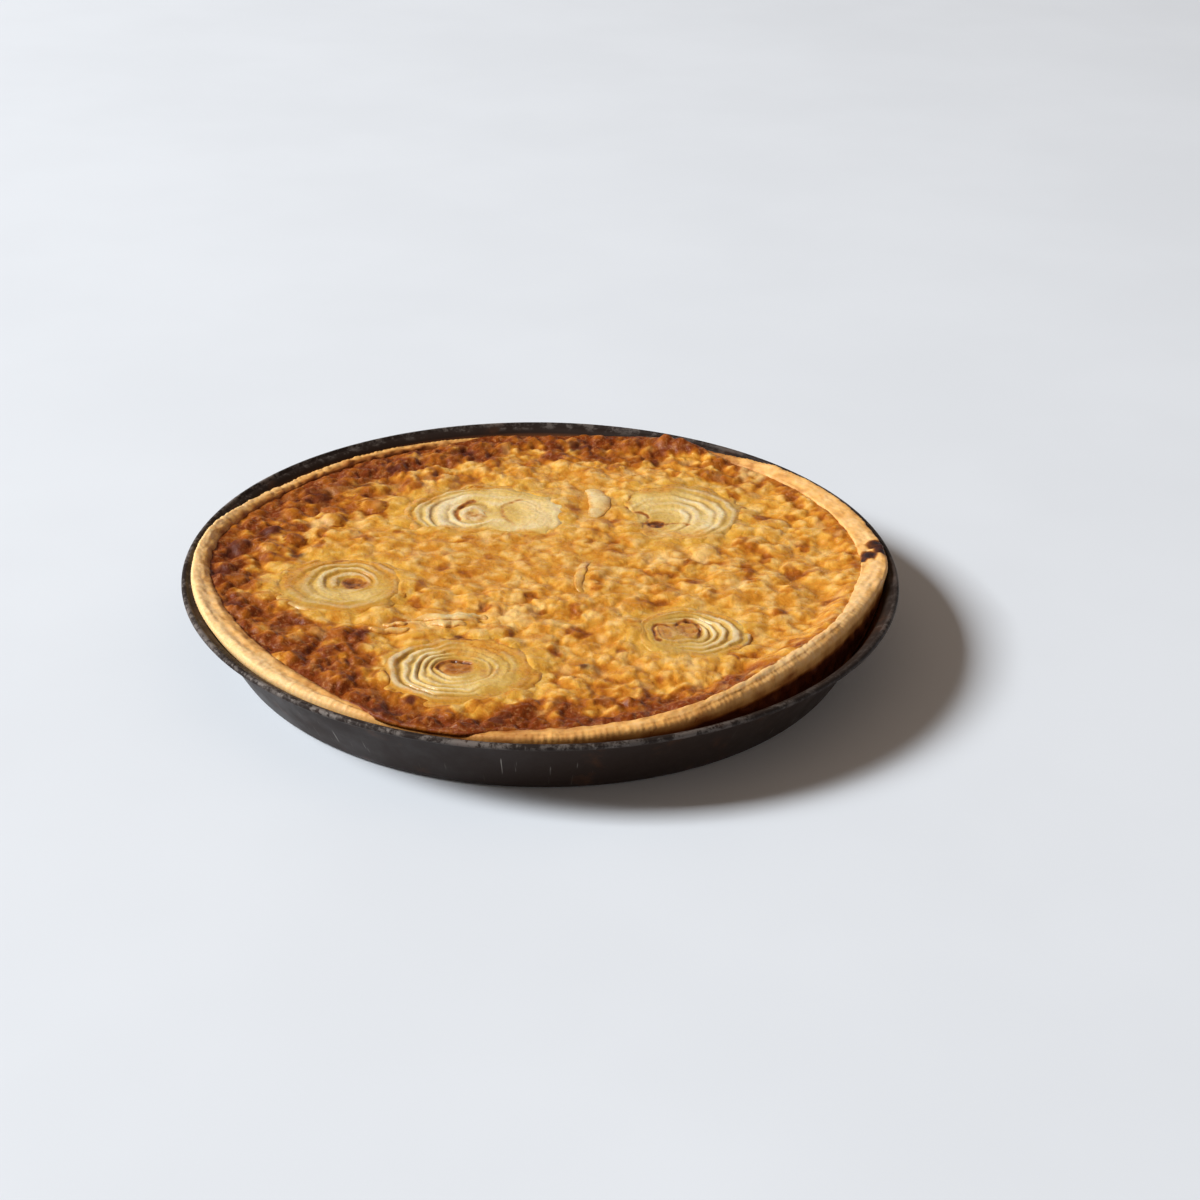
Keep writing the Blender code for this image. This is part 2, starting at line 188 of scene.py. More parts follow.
def newFinish(name, look):  # look may hold subsurface: weight, reach of red, green and blue, scale
    finish = bpy.data.materials.new(name)
    finish.use_nodes = True
    tree = finish.node_tree
    shader = tree.nodes["Principled BSDF"]
    shader.inputs["Specular IOR Level"].default_value = look["specular"]
    for part, value in zip(("Weight", "Radius", "Scale"), look.get("subsurface", ())):
        shader.inputs["Subsurface " + part].default_value = value
    return finish, tree, shader, addNode(tree, "TexCoord").outputs["Object"]


def calc(tree, operation, a, b=0.0, clamp=False):
    node = addNode(tree, "Math", {0: a, 1: b}, operation=operation, use_clamp=clamp)
    return node.outputs[0]


def times(tree, a, b):
    return calc(tree, "MULTIPLY", a, b)


def plus(tree, a, b, clamp=False):
    return calc(tree, "ADD", a, b, clamp)


def sway(tree, value, cause, amount, middle=0.5, clamp=False):  # value pushed up and down by a cause
    return plus(tree, value, times(tree, plus(tree, cause, -middle), amount), clamp)


def field(tree, *names):
    return [addNode(tree, "Attribute", attribute_name=name).outputs["Fac"] for name in names]


def speckle(tree, place, scale, detail=3.0, rough=0.55, twist=0.0):
    node = addNode(tree, "TexNoise", {"Vector": place, "Scale": scale, "Detail": detail,
                                      "Roughness": rough, "Distortion": twist})
    return node.outputs["Fac"]


def spread(tree, value, low, high, start=0.0, end=1.0):  # maps a range of value onto start to end
    node = addNode(tree, "MapRange", {"Value": value, "From Min": low, "From Max": high,
                                      "To Min": start, "To Max": end}, interpolation_type="SMOOTHSTEP")
    return node.outputs["Result"]


def ramp(tree, value, look, **stops):  # each stop is a colour of the look and its place
    node = addNode(tree, "ValToRGB", {"Fac": value})
    marks = node.color_ramp.elements
    while len(marks) < len(stops):
        marks.new(0.5)
    for mark, (name, place) in zip(marks, stops.items()):
        mark.position = place
        mark.color = (*look[name], 1)
    return node.outputs["Color"]


def tint(tree, amount, under, over):
    node = addNode(tree, "Mix", {0: amount}, data_type="RGBA")
    for number, colour in ((6, under), (7, over)):
        plug(tree, node.inputs[number], colour if isinstance(colour, bpy.types.NodeSocket) else (*colour, 1))
    return node.outputs[2]


def coat(tree, base, look, *coats):  # colours of the look laid over the base: name, where, how strong
    for name, where, strength in coats:
        base = tint(tree, times(tree, where, strength), base, look[name])
    return base


def dress(tree, shader, colour, roughness, heights=()):  # stacked bumps: height socket, depth in metres
    plug(tree, shader.inputs["Base Color"], colour)
    plug(tree, shader.inputs["Roughness"], roughness)
    below = {}
    for height, depth in heights:
        bump = addNode(tree, "Bump", {"Height": height, "Distance": depth, "Strength": 1.0, **below})
        below = {"Normal": bump.outputs["Normal"]}
    if below:
        plug(tree, shader.inputs["Normal"], below["Normal"])


# Tin

tin = {
    "rimRadius": 0.13984,
    "height": 0.0291,
    "baseRadius": 0.1224,
    "sheet": 0.001,
    "baseCorner": 0.003,
    "wallTop": (0.1352, 0.0262),
    "beadRadius": 0.00115,
    "around": 384,
    "wobble": 0.00012,
    "steel": (0.0205, 0.0122, 0.009),
    # colour laid over the top rim of the tin, darkening it
    "brimDarkening": (0.012, 0.009, 0.008),
    "wornAndLit": (0.33, 0.29, 0.26),
    "scratch": (0.3, 0.27, 0.24),
    "greaseAndReflection": (0.17, 0.06, 0.02),
    "metallic": 0.1,
    "specular": 0.18,
    "scratchLines": (  # how fine round the tin and up it, shift, detail, roughness, where lines start to show
        (90.0, 40.0, 0.0, 2.0, 0.7, 0.66), (34.0, 22.0, 3.0, 4.0, 0.75, 0.68),
    ),
    "brimHeights": (0.0265, 0.0284),
    "beadRadii": (0.1368, 0.1386),
    "wear": 0.26,
    "chips": 0.42,
    "stains": 0.22,
    "insideRings": 25,  # rings of the outline that the food touches
}


def wallRadius(height):  # inner face of the flared wall
    topRadius, topHeight = tin["wallTop"]
    slope = (topRadius - tin["baseRadius"]) / (topHeight - tin["baseCorner"])
    return tin["baseRadius"] - tin["sheet"] + slope * (height - tin["baseCorner"])


def curve(start, middle, end, steps):  # points of a soft bend, its end left out
    t = np.arange(steps)[:, None] / steps
    a, b, c = map(np.array, (start, middle, end))
    return ((1 - t) ** 2 * a + 2 * t * (1 - t) * b + t ** 2 * c).tolist()


def line(start, end, steps):
    return curve(start, mix(np.array(start), np.array(end), 0.5), end, steps)


def tinOutline():
    sheet, base, corner = tin["sheet"], tin["baseRadius"], tin["baseCorner"]
    topRadius, topHeight = tin["wallTop"]
    lean = (topRadius - base) / (topHeight - corner)
    bead = tin["beadRadius"]
    beadMiddle = (tin["rimRadius"] - bead, tin["height"] - bead)
    footRadius = base - lean * corner
    points = line((0.02, 0), (footRadius - 0.002, 0), 6)
    points += curve((footRadius - 0.002, 0), (footRadius, 0), (base, corner), 6)
    points += line((base, corner), (topRadius, topHeight), 16)
    points += curve((topRadius, topHeight), (topRadius + 0.0006, topHeight + 0.0005),
                    (topRadius + 0.002, topHeight + 0.0006), 4)
    for step in range(15):
        angle = math.radians(mix(-105, 135, step / 14))
        points.append([beadMiddle[0] + bead * math.cos(angle), beadMiddle[1] + bead * math.sin(angle)])
    points += curve((topRadius + 0.0022, topHeight + 0.0019), (topRadius + 0.0004, topHeight + 0.0018),
                    (topRadius - sheet, topHeight), 6)
    points += line((topRadius - sheet, topHeight), (base - sheet, corner), 14)
    points += curve((base - sheet, corner), (footRadius - sheet, sheet), (footRadius - 0.004, sheet), 6)
    points += line((footRadius - 0.004, sheet), (0.02, sheet), 5)
    return np.array(points + [[0.02, sheet]])


def tinFinish():
    finish, tree, shader, place = newFinish("darkCoatedSteel", tin)
    x, y, z = addNode(tree, "SeparateXYZ", {"Vector": place}).outputs
    angle = calc(tree, "ARCTAN2", y, x)
    lines = []
    for around, up, shift, detail, rough, low in tin["scratchLines"]:
        stretched = addNode(tree, "CombineXYZ", {"X": times(tree, angle, around), "Y": times(tree, z, up),
                                                 "Z": shift}).outputs[0]
        lines.append(spread(tree, speckle(tree, stretched, 1.0, detail, rough), low, low + 0.08))
    patches = spread(tree, speckle(tree, place, 28.0, 2.0), 0.46, 0.62)
    scratches = times(tree, calc(tree, "MAXIMUM", *lines), patches)
    brim = spread(tree, z, *tin["brimHeights"])
    radius = calc(tree, "SQRT", plus(tree, times(tree, x, x), times(tree, y, y)))
    bead = times(tree, spread(tree, radius, *tin["beadRadii"]), brim)
    wear = times(tree, spread(tree, speckle(tree, place, 170.0, 5.0, 0.75), 0.5, 0.62), brim)
    chips = times(tree, speckle(tree, place, 60.0, 3.0), speckle(tree, place, 420.0, 4.0, 0.7))
    chips = times(tree, spread(tree, chips, 0.24, 0.34), bead)
    wornAndLit = calc(tree, "MAXIMUM", times(tree, wear, tin["wear"]), times(tree, chips, tin["chips"]))
    # Painted light: the pale wear fades out towards the right, the side in shade, so the lit left stays
    # paler.
    wornAndLit = times(tree, wornAndLit, spread(tree, x, 0.0, 0.12, 1.0, 0.35))  # less on the right
    stains = spread(tree, speckle(tree, place, 60.0, 4.0, 0.65), 0.55, 0.7)
    # Grease spots all over, and over the rings the food touches a brown that is partly baked-on grease and
    # partly painted reflection of the custard on the inner wall.
    baked = spread(tree, speckle(tree, place, 35.0, 4.0), 0.3, 0.6, 0.62, 1.0)
    baked = times(tree, *field(tree, "inside"), baked)
    stains = calc(tree, "MAXIMUM", times(tree, stains, tin["stains"]), baked)
    clouds = speckle(tree, place, 18.0, 4.0, 0.6)
    base = tint(tree, clouds, tin["steel"], [1.5 * c for c in tin["steel"]])
    base = coat(tree, base, tin, ("greaseAndReflection", stains, 1.0), ("scratch", scratches, 0.75), ("brimDarkening", brim, 0.45),
                ("wornAndLit", wornAndLit, 1.0))
    plug(tree, shader.inputs["Metallic"], tin["metallic"])
    rough = spread(tree, speckle(tree, place, 70.0, 4.0), 0.3, 0.7, 0.42, 0.6)
    rough = plus(tree, plus(tree, rough, times(tree, bead, 0.15)), times(tree, wornAndLit, -0.12))
    grit = speckle(tree, place, 900.0, 3.0)
    dress(tree, shader, base, rough, ((clouds, 0.00025), (scratches, -0.00003), (grit, 0.00002)))
    return finish


def makeTin():
    outline = tinOutline()
    rings, around = len(outline), tin["around"]
    theta = np.arange(around) * math.tau / around
    bend = tin["wobble"] * waves(np.cos(theta) * 0.1, np.sin(theta) * 0.1, 0.05, 7.0)
    points = []
    for radius, height in outline:
        bent = np.minimum(radius + bend * smooth(0.0, 0.01, height), tin["rimRadius"])
        points += ringPoints(bent, height, theta)
    points += [[0, 0, 0], [0, 0, tin["sheet"]]]
    inside = np.repeat(np.arange(rings) >= rings - tin["insideRings"], around)
    addPiece("tin_dressed", points, spunFaces(rings, around), tinFinish(), ["tin"],
             {"inside": [*inside, 0, 1]})


makeTin()


# Pastry case

pastry = {
    "rim": (  # angle, outer radius, outer height, inner radius, inner height, the last four in millimetres
        (0, 136.5, 31.0, 126.0, 30.0), (14, 136.6, 31.0, 127.5, 30.0), (28, 136.5, 31.0, 128.0, 29.5),
        (42, 135.5, 30.6, 129.0, 28.8), (54, 133.6, 28.6, 129.0, 27.6), (66, 133.0, 28.4, 128.0, 27.8),
        (78, 132.5, 25.6, 128.0, 25.2), (92, 132.5, 24.0, 128.0, 23.5), (106, 132.8, 25.3, 129.0, 24.4),
        (124, 133.2, 26.2, 129.0, 25.2), (144, 132.8, 26.6, 127.6, 25.7), (158, 134.2, 28.6, 129.0, 26.8),
        (170, 136.4, 30.4, 131.0, 28.0), (182, 136.4, 30.5, 130.0, 28.2), (196, 135.5, 30.4, 125.8, 28.0),
        (212, 134.2, 29.4, 123.4, 27.8), (228, 133.8, 29.0, 123.8, 27.6), (239, 132.9, 28.2, 127.4, 27.4),
        (252, 132.4, 26.8, 128.6, 26.2), (264, 133.0, 28.2, 127.6, 27.6), (278, 133.6, 29.4, 126.8, 29.0),
        (292, 132.2, 30.2, 126.6, 31.0), (304, 128.8, 31.6, 123.8, 32.8), (318, 126.8, 32.6, 121.0, 33.6),
        (334, 127.6, 32.6, 122.2, 32.8), (347, 131.4, 32.0, 122.6, 31.6),
    ),
    "overflows": ((80, 26), (252, 12)),  # where custard runs over the rim: middle, half width
    "overflowRamp": 16,
    "around": 1200,
    "thick": 0.004,
    "gap": 0.0004,
    "floorRadius": 0.1198,
    "crown": 0.0004,
    "teeth": 0.00045,
    "grooves": 0.00032,
    "folds": 0.0004,
    "ribs": 0.00026,
    "flakes": 0.0003,
    "blisterHeight": 0.0013,
    "blisters": (0.132, 0.004, 0.007, 0.016),  # beside the burnt place on the right: x, y, reach along both
    "widest": 0.1369,
    # where each of these starts, is full, starts to fade and ends: rows of the section, then angles
    "lipRows": (16.5, 19, 24, 28),
    "topRows": (18, 21, 41, 46),
    "sideRows": (3, 6, 15, 17),
    "freeAngles": (284, 302, 344, 353),
    "grooveAngles": (190, 205, 240, 252),
    "foldAngles": (186, 200, 236, 248),
    "ribAngles": (140, 152, 236, 250),
    "raggedAngles": (98, 112, 150, 160),
    "toastAndShade": (  # angle, how brown the outer edge is, how brown the top is
        (0, 0.4, 0.22), (20, 0.42, 0.28), (45, 0.47, 0.38), (70, 0.72, 0.7), (110, 0.52, 0.46),
        (150, 0.36, 0.3), (168, 0.16, 0.13), (200, 0.1, 0.08), (235, 0.24, 0.2), (255, 0.64, 0.64),
        (272, 0.52, 0.46), (290, 0.48, 0.34), (310, 0.32, 0.12), (335, 0.28, 0.1),
    ),
    "charred": ((0.1295, 0.004, 0.0035), (0.134, 0.0125, 0.0046), (0.135, 0.007, 0.0036),
                (0.1265, 0.001, 0.0022)),  # burnt spots: x, y, radius
    "flour": (0.93, 0.72, 0.47),
    "dough": (0.93, 0.61, 0.27),
    "golden": (0.79, 0.42, 0.118),
    "brown": (0.38, 0.13, 0.022),
    "deep": (0.095, 0.02, 0.004),
    "char": (0.016, 0.008, 0.012),
    "specular": 0.28,
    "subsurface": (0.12, (1.0, 0.5, 0.25), 0.002),
}


def rimAt(degrees):
    return roundTable(pastry["rim"], degrees) / 1000


def overflowAt(degrees):
    amount = np.zeros(np.shape(degrees))
    blend = pastry["overflowRamp"] / 2
    for middle, half in pastry["overflows"]:
        amount = np.maximum(amount, 1 - smooth(half - blend, half + blend, turnedFrom(degrees, middle)))
    return amount


def pastrySection(degrees):  # rows of (radius, height) from under the floor, over the rim and down inside
    outer, outerTop, inner, innerTop = rimAt(degrees)
    gap, sheet, floor = pastry["gap"], tin["sheet"], pastry["floorRadius"]
    wallTop, brimHeight = tin["wallTop"]
    crown = pastry["crown"] * (1 - overflowAt(degrees))
    overBrim = brimHeight + outer - (wallTop - sheet) + 0.0005
    free = between(degrees, *pastry["freeAngles"])
    lipRound = mix(0.0011, 0.0026, free)
    lipLow = np.maximum(outerTop - mix(0.0018, 0.0032, free), overBrim)
    bend = np.minimum(brimHeight - gap, lipLow - 2 * gap)

    def outside(height):
        return np.minimum(wallRadius(height) - gap, outer)

    rows = [(floor - 0.0012, sheet + gap), (floor, 0.0034), (outside(0.009), 0.009)]
    for t in np.linspace(0, 1, 14):  # outer face
        height = mix(0.014, bend, t)
        rows.append((outside(height), height))
    for t in (0.5, 1.0):
        rows.append((mix(outside(bend), outer, t), mix(bend, lipLow, t)))
    for angle in (25, 50, 70, 90):  # rounded outer lip
        a = math.radians(angle)
        rows.append((outer - lipRound * (1 - math.cos(a)), mix(lipLow, outerTop, math.sin(a))))
    for t in np.linspace(0, 1, 19)[1:]:  # top face
        swell = crown * 4 * t * (1 - t)
        rows.append((mix(outer - lipRound, inner, t), mix(outerTop, innerTop, t) + swell))
    innerMiddle = np.minimum(inner - 0.0006, outside(0.02) - pastry["thick"])
    for t in (0.12, 0.25, 0.4, 0.6, 0.8, 1.0):  # inner face, under the custard
        rows.append((mix(inner, innerMiddle, t), mix(innerTop, 0.02, t)))
    rows += [(floor - 0.0035, 0.0075), (floor - 0.0075, sheet + gap + pastry["thick"])]
    return np.array([np.broadcast_arrays(outer, *row)[1:] for row in rows])  # rows, 2, angles


def pastryFinish():
    finish, tree, shader, place = newFinish("bakedPastry", pastry)
    toastAndShade, char = field(tree, "toastAndShade", "char")
    mottle = speckle(tree, place, 130.0, 5.0, 0.62)
    flour = speckle(tree, place, 420.0, 4.0, 0.6)
    fleck = spread(tree, speckle(tree, place, 260.0, 3.0, 0.7, 0.6), 0.6, 0.74)
    uneven = spread(tree, toastAndShade, 0.05, 0.45, 0.18, 0.6)
    tone = sway(tree, toastAndShade, mottle, uneven)
    tone = plus(tree, tone, times(tree, fleck, times(tree, uneven, 0.22)), clamp=True)
    base = ramp(tree, tone, pastry, dough=0.08, golden=0.42, brown=0.72, deep=1.0)
    dusted = spread(tree, flour, 0.35, 0.75, 0.0, 0.26)
    dusted = times(tree, dusted, spread(tree, toastAndShade, 0.15, 0.65, 1.0, 0.0))
    base = coat(tree, base, pastry, ("flour", dusted, 1.0), ("char", char, 1.0))
    rough = spread(tree, mottle, 0.3, 0.7, 0.48, 0.66)
    dress(tree, shader, base, rough, ((mottle, 0.0004), (flour, 0.00015)))
    return finish


def makePastry():
    around = pastry["around"]
    degrees = np.arange(around) * 360 / around
    theta = np.radians(degrees)
    section = pastrySection(degrees)
    radius, height = section[:, 0], section[:, 1]
    row = np.arange(len(section))[:, None] + 0 * radius
    lip, top, side = (between(row, *pastry[part]) for part in ("lipRows", "topRows", "sideRows"))
    free = smooth(0.0008, 0.004, wallRadius(height) - radius) * smooth(280, 296, degrees)

    # outward direction of the section at every point
    along = np.stack([np.gradient(radius, axis=0), np.gradient(height, axis=0)])
    along /= np.maximum(np.hypot(*along), 1e-9)
    outR, outZ = along[1], -along[0]

    # where every point lies: arc is measured round the rim and path across it
    step = np.hypot(np.diff(radius, axis=0), np.diff(height, axis=0))
    path = np.vstack([np.zeros(around), np.cumsum(step, axis=0)])
    arc = np.broadcast_to(theta * 0.131, radius.shape)

    def swell(size, seed):
        return waves(arc, path, size, seed)

    grooves = waves(arc * 0.16, path, 0.0021, 3.0) + 0.5 * waves(arc * 0.35, path, 0.0011, 9.0)
    grooves *= pastry["grooves"] * (0.5 + 0.5 * between(degrees, *pastry["grooveAngles"]))
    folds = between(degrees, *pastry["foldAngles"]) * (0.6 + 0.8 * waves(arc, 0 * arc, 0.03, 24.0))
    across = (row - 22) / 18 + 0.1 * swell(0.02, 23.0)
    grooves += folds * pastry["folds"] * np.cos(math.tau * (across * 1.7 - 0.3))
    inner = smooth(26, 34, row) * smooth(190, 205, degrees)
    ribs = between(degrees, *pastry["ribAngles"]) * (1 - 0.8 * inner)
    grooves += ribs * pastry["ribs"] * waves(arc, path * 0.22, 0.0011, 25.0)
    teeth = np.abs(np.sin(arc * math.pi / 0.0021 + 2.2 * waves(arc, 0 * arc, 0.006, 1.0)))
    teeth = pastry["teeth"] * (teeth - 0.5) * (0.6 + 0.6 * swell(0.02, 5.0))
    bumps = 0.00055 * swell(0.0052, 2.0) + 0.0003 * swell(0.0021, 4.0)
    flakes = pastry["flakes"] * (domes(arc, path * 1.3, 0.0034, 0.7, 6.0) - 0.4)
    push = top * (grooves + bumps * 0.8 + flakes * 0.5) + lip * teeth
    push += free * side * (0.0011 * swell(0.006, 8.0) + 0.0008 * (domes(arc, path, 0.0042, 0.7, 8.5) - 0.4))
    push += between(degrees, *pastry["raggedAngles"]) * top * (0.0005 * swell(0.0034, 26.0) + flakes)
    push *= 1 - 0.5 * overflowAt(degrees)
    radius = radius + outR * push
    height = height + outZ * push
    x, y = radius * np.cos(theta), radius * np.sin(theta)
    height += pastry["blisterHeight"] * domes(x, y, 0.0045, 0.7, 2.0) * hill(x, y, *pastry["blisters"]) * top

    # kept clear of the tin's wall and brim
    wallTop, brimHeight = tin["wallTop"]
    over = brimHeight + radius - (wallTop - tin["sheet"]) + 0.0003
    height = np.where((radius > wallRadius(brimHeight)) & (height < over), over, height)
    radius = np.where(height < brimHeight, np.minimum(radius, wallRadius(height) - 0.0002), radius)
    radius = np.minimum(radius, pastry["widest"])
    height = np.minimum(height, cadHigh.z - 0.00005)
    x, y = radius * np.cos(theta), radius * np.sin(theta)

    # how brown every point is, with painted shade added in the low parts of the grooves, down the free outer
    # side and under the lip on the right
    edgeToast, topToast = roundTable(pastry["toastAndShade"], degrees)
    below = rimAt(degrees)[1] - height
    innerSide = smooth(24, 41, row + 5 * swell(0.006, 12.0))
    leftSide = smooth(-0.1, 0.7, -np.cos(theta))
    rightSide = smooth(0.2, 0.9, np.cos(theta + math.radians(25)))
    underLip = smooth(0.0008, 0.0042, below) * (1 - smooth(20, 24, row))
    toastAndShade = mix(topToast, edgeToast, lip) + 0.07 * swell(0.008, 11.0)
    toastAndShade += 0.1 * lip * np.clip(teeth / pastry["teeth"], -1, 1)
    toastAndShade += innerSide * (0.16 + 0.32 * leftSide + 0.18 * swell(0.004, 13.0))
    # Painted shade: a little browner where the grooves dip.
    toastAndShade += top * (0.1 * swell(0.013, 29.0) - 0.05 * grooves / pastry["grooves"])
    # Partly painted shade: the outer side browns, and where it stands free of the tin it darkens further the
    # deeper it lies below the lip.
    toastAndShade += side * (0.25 + free * (0.8 * smooth(0.0014, 0.007, below) + 0.34 * swell(0.006, 19.0)))
    # Painted shade: the right side under the lip, facing away from the light, is darkened.
    toastAndShade += rightSide * underLip * (0.42 + 0.28 * swell(0.007, 30.0))
    char = np.zeros(radius.shape)
    for spot in pastry["charred"]:
        share = spotShare(x, y, *spot) + 0.18 * waves(x, y, 0.003, 4.0)
        char = np.maximum(char, 1 - smooth(0.35, 1.1, share))
        toastAndShade = np.maximum(toastAndShade, (1 - smooth(0.7, 1.5, share)) * top)
    char *= top * np.clip(0.75 + 0.8 * waves(x, y, 0.0022, 27.0), 0.2, 1)

    points = asPoints(x, y, height) + [[0, 0, section[0, 1, 0]], [0, 0, section[-1, 1, 0]]]
    fields = {"toastAndShade": [*np.clip(toastAndShade, 0, 1).ravel(), 0, 0], "char": [*char.ravel(), 0, 0]}
    addPiece("pastry_dressed", points, spunFaces(len(section), around), pastryFinish(),
             ["pastry_case"], fields)


makePastry()


# Custard

custard = {
    "level": 0.027,
    "edgeBlend": 0.014,
    "edgeDrop": 0.0008,
    "lumpSize": 0.0105,
    "lumpHeight": 0.0017,
    "swellSize": 0.034,
    "swellHeight": 0.0008,
    "curdSize": 0.0056,
    "curdHeight": 0.0012,
    "smallCurdSize": 0.0029,
    "smallCurdHeight": 0.00055,
    "floor": ((0.1155, 0.0079), (0.1119, 0.0058)),
    "calmSkin": (-0.01, 0.01, 0.05, 0.026, 0.7),
    "backLump": (0.06, 0.12, 0.011, 0.008, 0.0048),
    "grid": 300,
    "browning": (  # angle, how brown the edge is, how far in the brown reaches in millimetres
        (0, 0.34, 14), (35, 0.42, 20), (55, 0.66, 32), (75, 0.96, 40), (100, 1.02, 42), (125, 0.98, 52),
        (150, 0.92, 50), (180, 0.92, 42), (205, 0.92, 42), (228, 1.00, 56), (250, 1.1, 38), (275, 1.16, 34),
        (292, 1.00, 30), (310, 0.66, 20), (330, 0.38, 14),
    ),
    "patches": (  # x, y, reach along x and y in centimetres, browning
        (-7.2, -6.2, 2.0, 1.5, 0.55), (-9.4, 5.2, 2.6, 2.6, 0.56), (-3.2, 8.2, 2.0, 1.2, 0.35),
        (4.8, -0.6, 1.1, 0.7, 0.45), (4.3, -2.0, 0.8, 0.6, 0.35), (8.3, 1.7, 1.3, 0.6, 0.4),
        (10.4, 7.4, 1.0, 1.2, 0.4), (3.6, -10.4, 2.6, 1.4, 0.5), (0.9, -8.6, 1.2, 1.4, 0.25),
        (0.0, -2.8, 0.7, 0.5, 0.3), (-0.8, 2.6, 0.8, 0.4, 0.3), (-5.3, 2.6, 0.5, 0.4, 0.3),
        (3.2, 7.4, 0.6, 0.6, 0.35), (4.8, 10.2, 1.2, 1.0, 0.35), (-2.9, -6.1, 1.0, 0.4, 0.45),
    ),
    "darkSpots": (  # x, y, radius in centimetres
        (-12.2, 1.2, 0.8), (-10.9, 2.6, 0.7), (-9.4, 6.2, 0.9), (-3.5, 10.8, 0.7), (1.4, 11.6, 0.9),
        (-9.6, 0.8, 0.4), (4.9, 10.2, 0.4), (-5.4, -11.4, 0.7), (-1.5, -12.0, 0.6), (-3.1, -6.0, 0.35),
        (-6.6, -5.8, 0.45), (10.5, 7.5, 0.35), (-7.6, 7.2, 0.5), (-12.4, -1.0, 0.6), (-11.6, -3.6, 0.5),
        (2.4, -11.9, 0.4), (-6.4, 9.0, 0.5), (-4.6, -10.6, 0.4), (1.5, -8.0, 0.3),
    ),
    "paleSpots": ((-9.0, 3.6, 0.6), (5.0, 0.8, 0.7), (6.3, 1.0, 0.6), (-4.2, -4.8, 0.8), (9.0, 8.8, 0.7),
                  (3.8, 9.0, 0.5), (-1.0, -4.3, 0.9), (7.6, -1.6, 0.6)),
    "bigBubbles": (  # x, y and radius in centimetres, browning
        (-8.6, 7.1, 0.55, 0.84), (-8.5, 3.9, 0.48, 0.38), (-9.9, 2.1, 0.42, 0.7), (-10.9, 2.9, 0.36, 0.95),
        (-12.0, 1.5, 0.45, 0.9), (-10.2, 4.5, 0.42, 0.6), (-7.0, 5.3, 0.52, 0.56), (-11.8, -1.4, 0.46, 0.7),
        (-10.9, 1.2, 0.36, 0.34),
    ),
    "bubbleHeight": 0.0017,
    "golden": (0.74, 0.37, 0.055),
    "amber": (0.57, 0.215, 0.018),
    "light": (0.9, 0.62, 0.24),
    "grain": (0.64, 0.33, 0.13),
    "juice": (0.72, 0.41, 0.055),
    "brown": (0.36, 0.1, 0.006),
    "deep": (0.18, 0.032, 0.002),
    "burnt": (0.085, 0.014, 0.005),
    "specular": 0.2,
    "subsurface": (0.15, (1.0, 0.45, 0.15), 0.003),
}


def custardEdge(degrees):  # radius and height of the edge, then radius low on the pastry's inner face
    outer, outerTop, inner, innerTop = rimAt(degrees)
    covered = overflowAt(degrees)
    rise, reach = smooth(0, 0.5, covered), smooth(0.5, 1.0, covered)
    wall = np.minimum(inner - 0.0006, np.minimum(wallRadius(0.02) - 0.0004, outer) - pastry["thick"])
    lean = (inner - wall) / (innerTop - 0.02)
    beside = inner - lean * mix(custard["edgeDrop"], 0, rise) + 0.0006
    over = mix(innerTop, outerTop, reach) + 0.001
    return mix(beside, outer, reach), mix(innerTop - custard["edgeDrop"], over, rise), wall


def custardLevel(x, y, detail=1.0):  # the same wavy, lumpy top as the solid's
    edgeRadius, edgeHeight, _ = custardEdge(np.degrees(np.arctan2(y, x)) % 360)
    inward = edgeRadius - np.hypot(x, y)
    rough = smooth(-0.001, 0.004, inward)
    cx, cy, reachX, reachY, share = custard["calmSkin"]
    calm = 1 - share * hill(x, y, cx, cy, reachX, reachY)
    lump = domes(x, y, custard["lumpSize"], 0.75, 0.013 / custard["lumpSize"]) - 0.45
    swell = custard["swellHeight"] * waves(x, y, custard["swellSize"])
    cx, cy, reachX, reachY, tall = custard["backLump"]
    blister = tall * hill(x, y, cx, cy, reachX, reachY)
    level = mix(edgeHeight + 0.0004 * rough, custard["level"], smooth(0, custard["edgeBlend"], inward))
    return level + rough * (custard["lumpHeight"] * calm * lump * detail + swell + blister), rough, calm


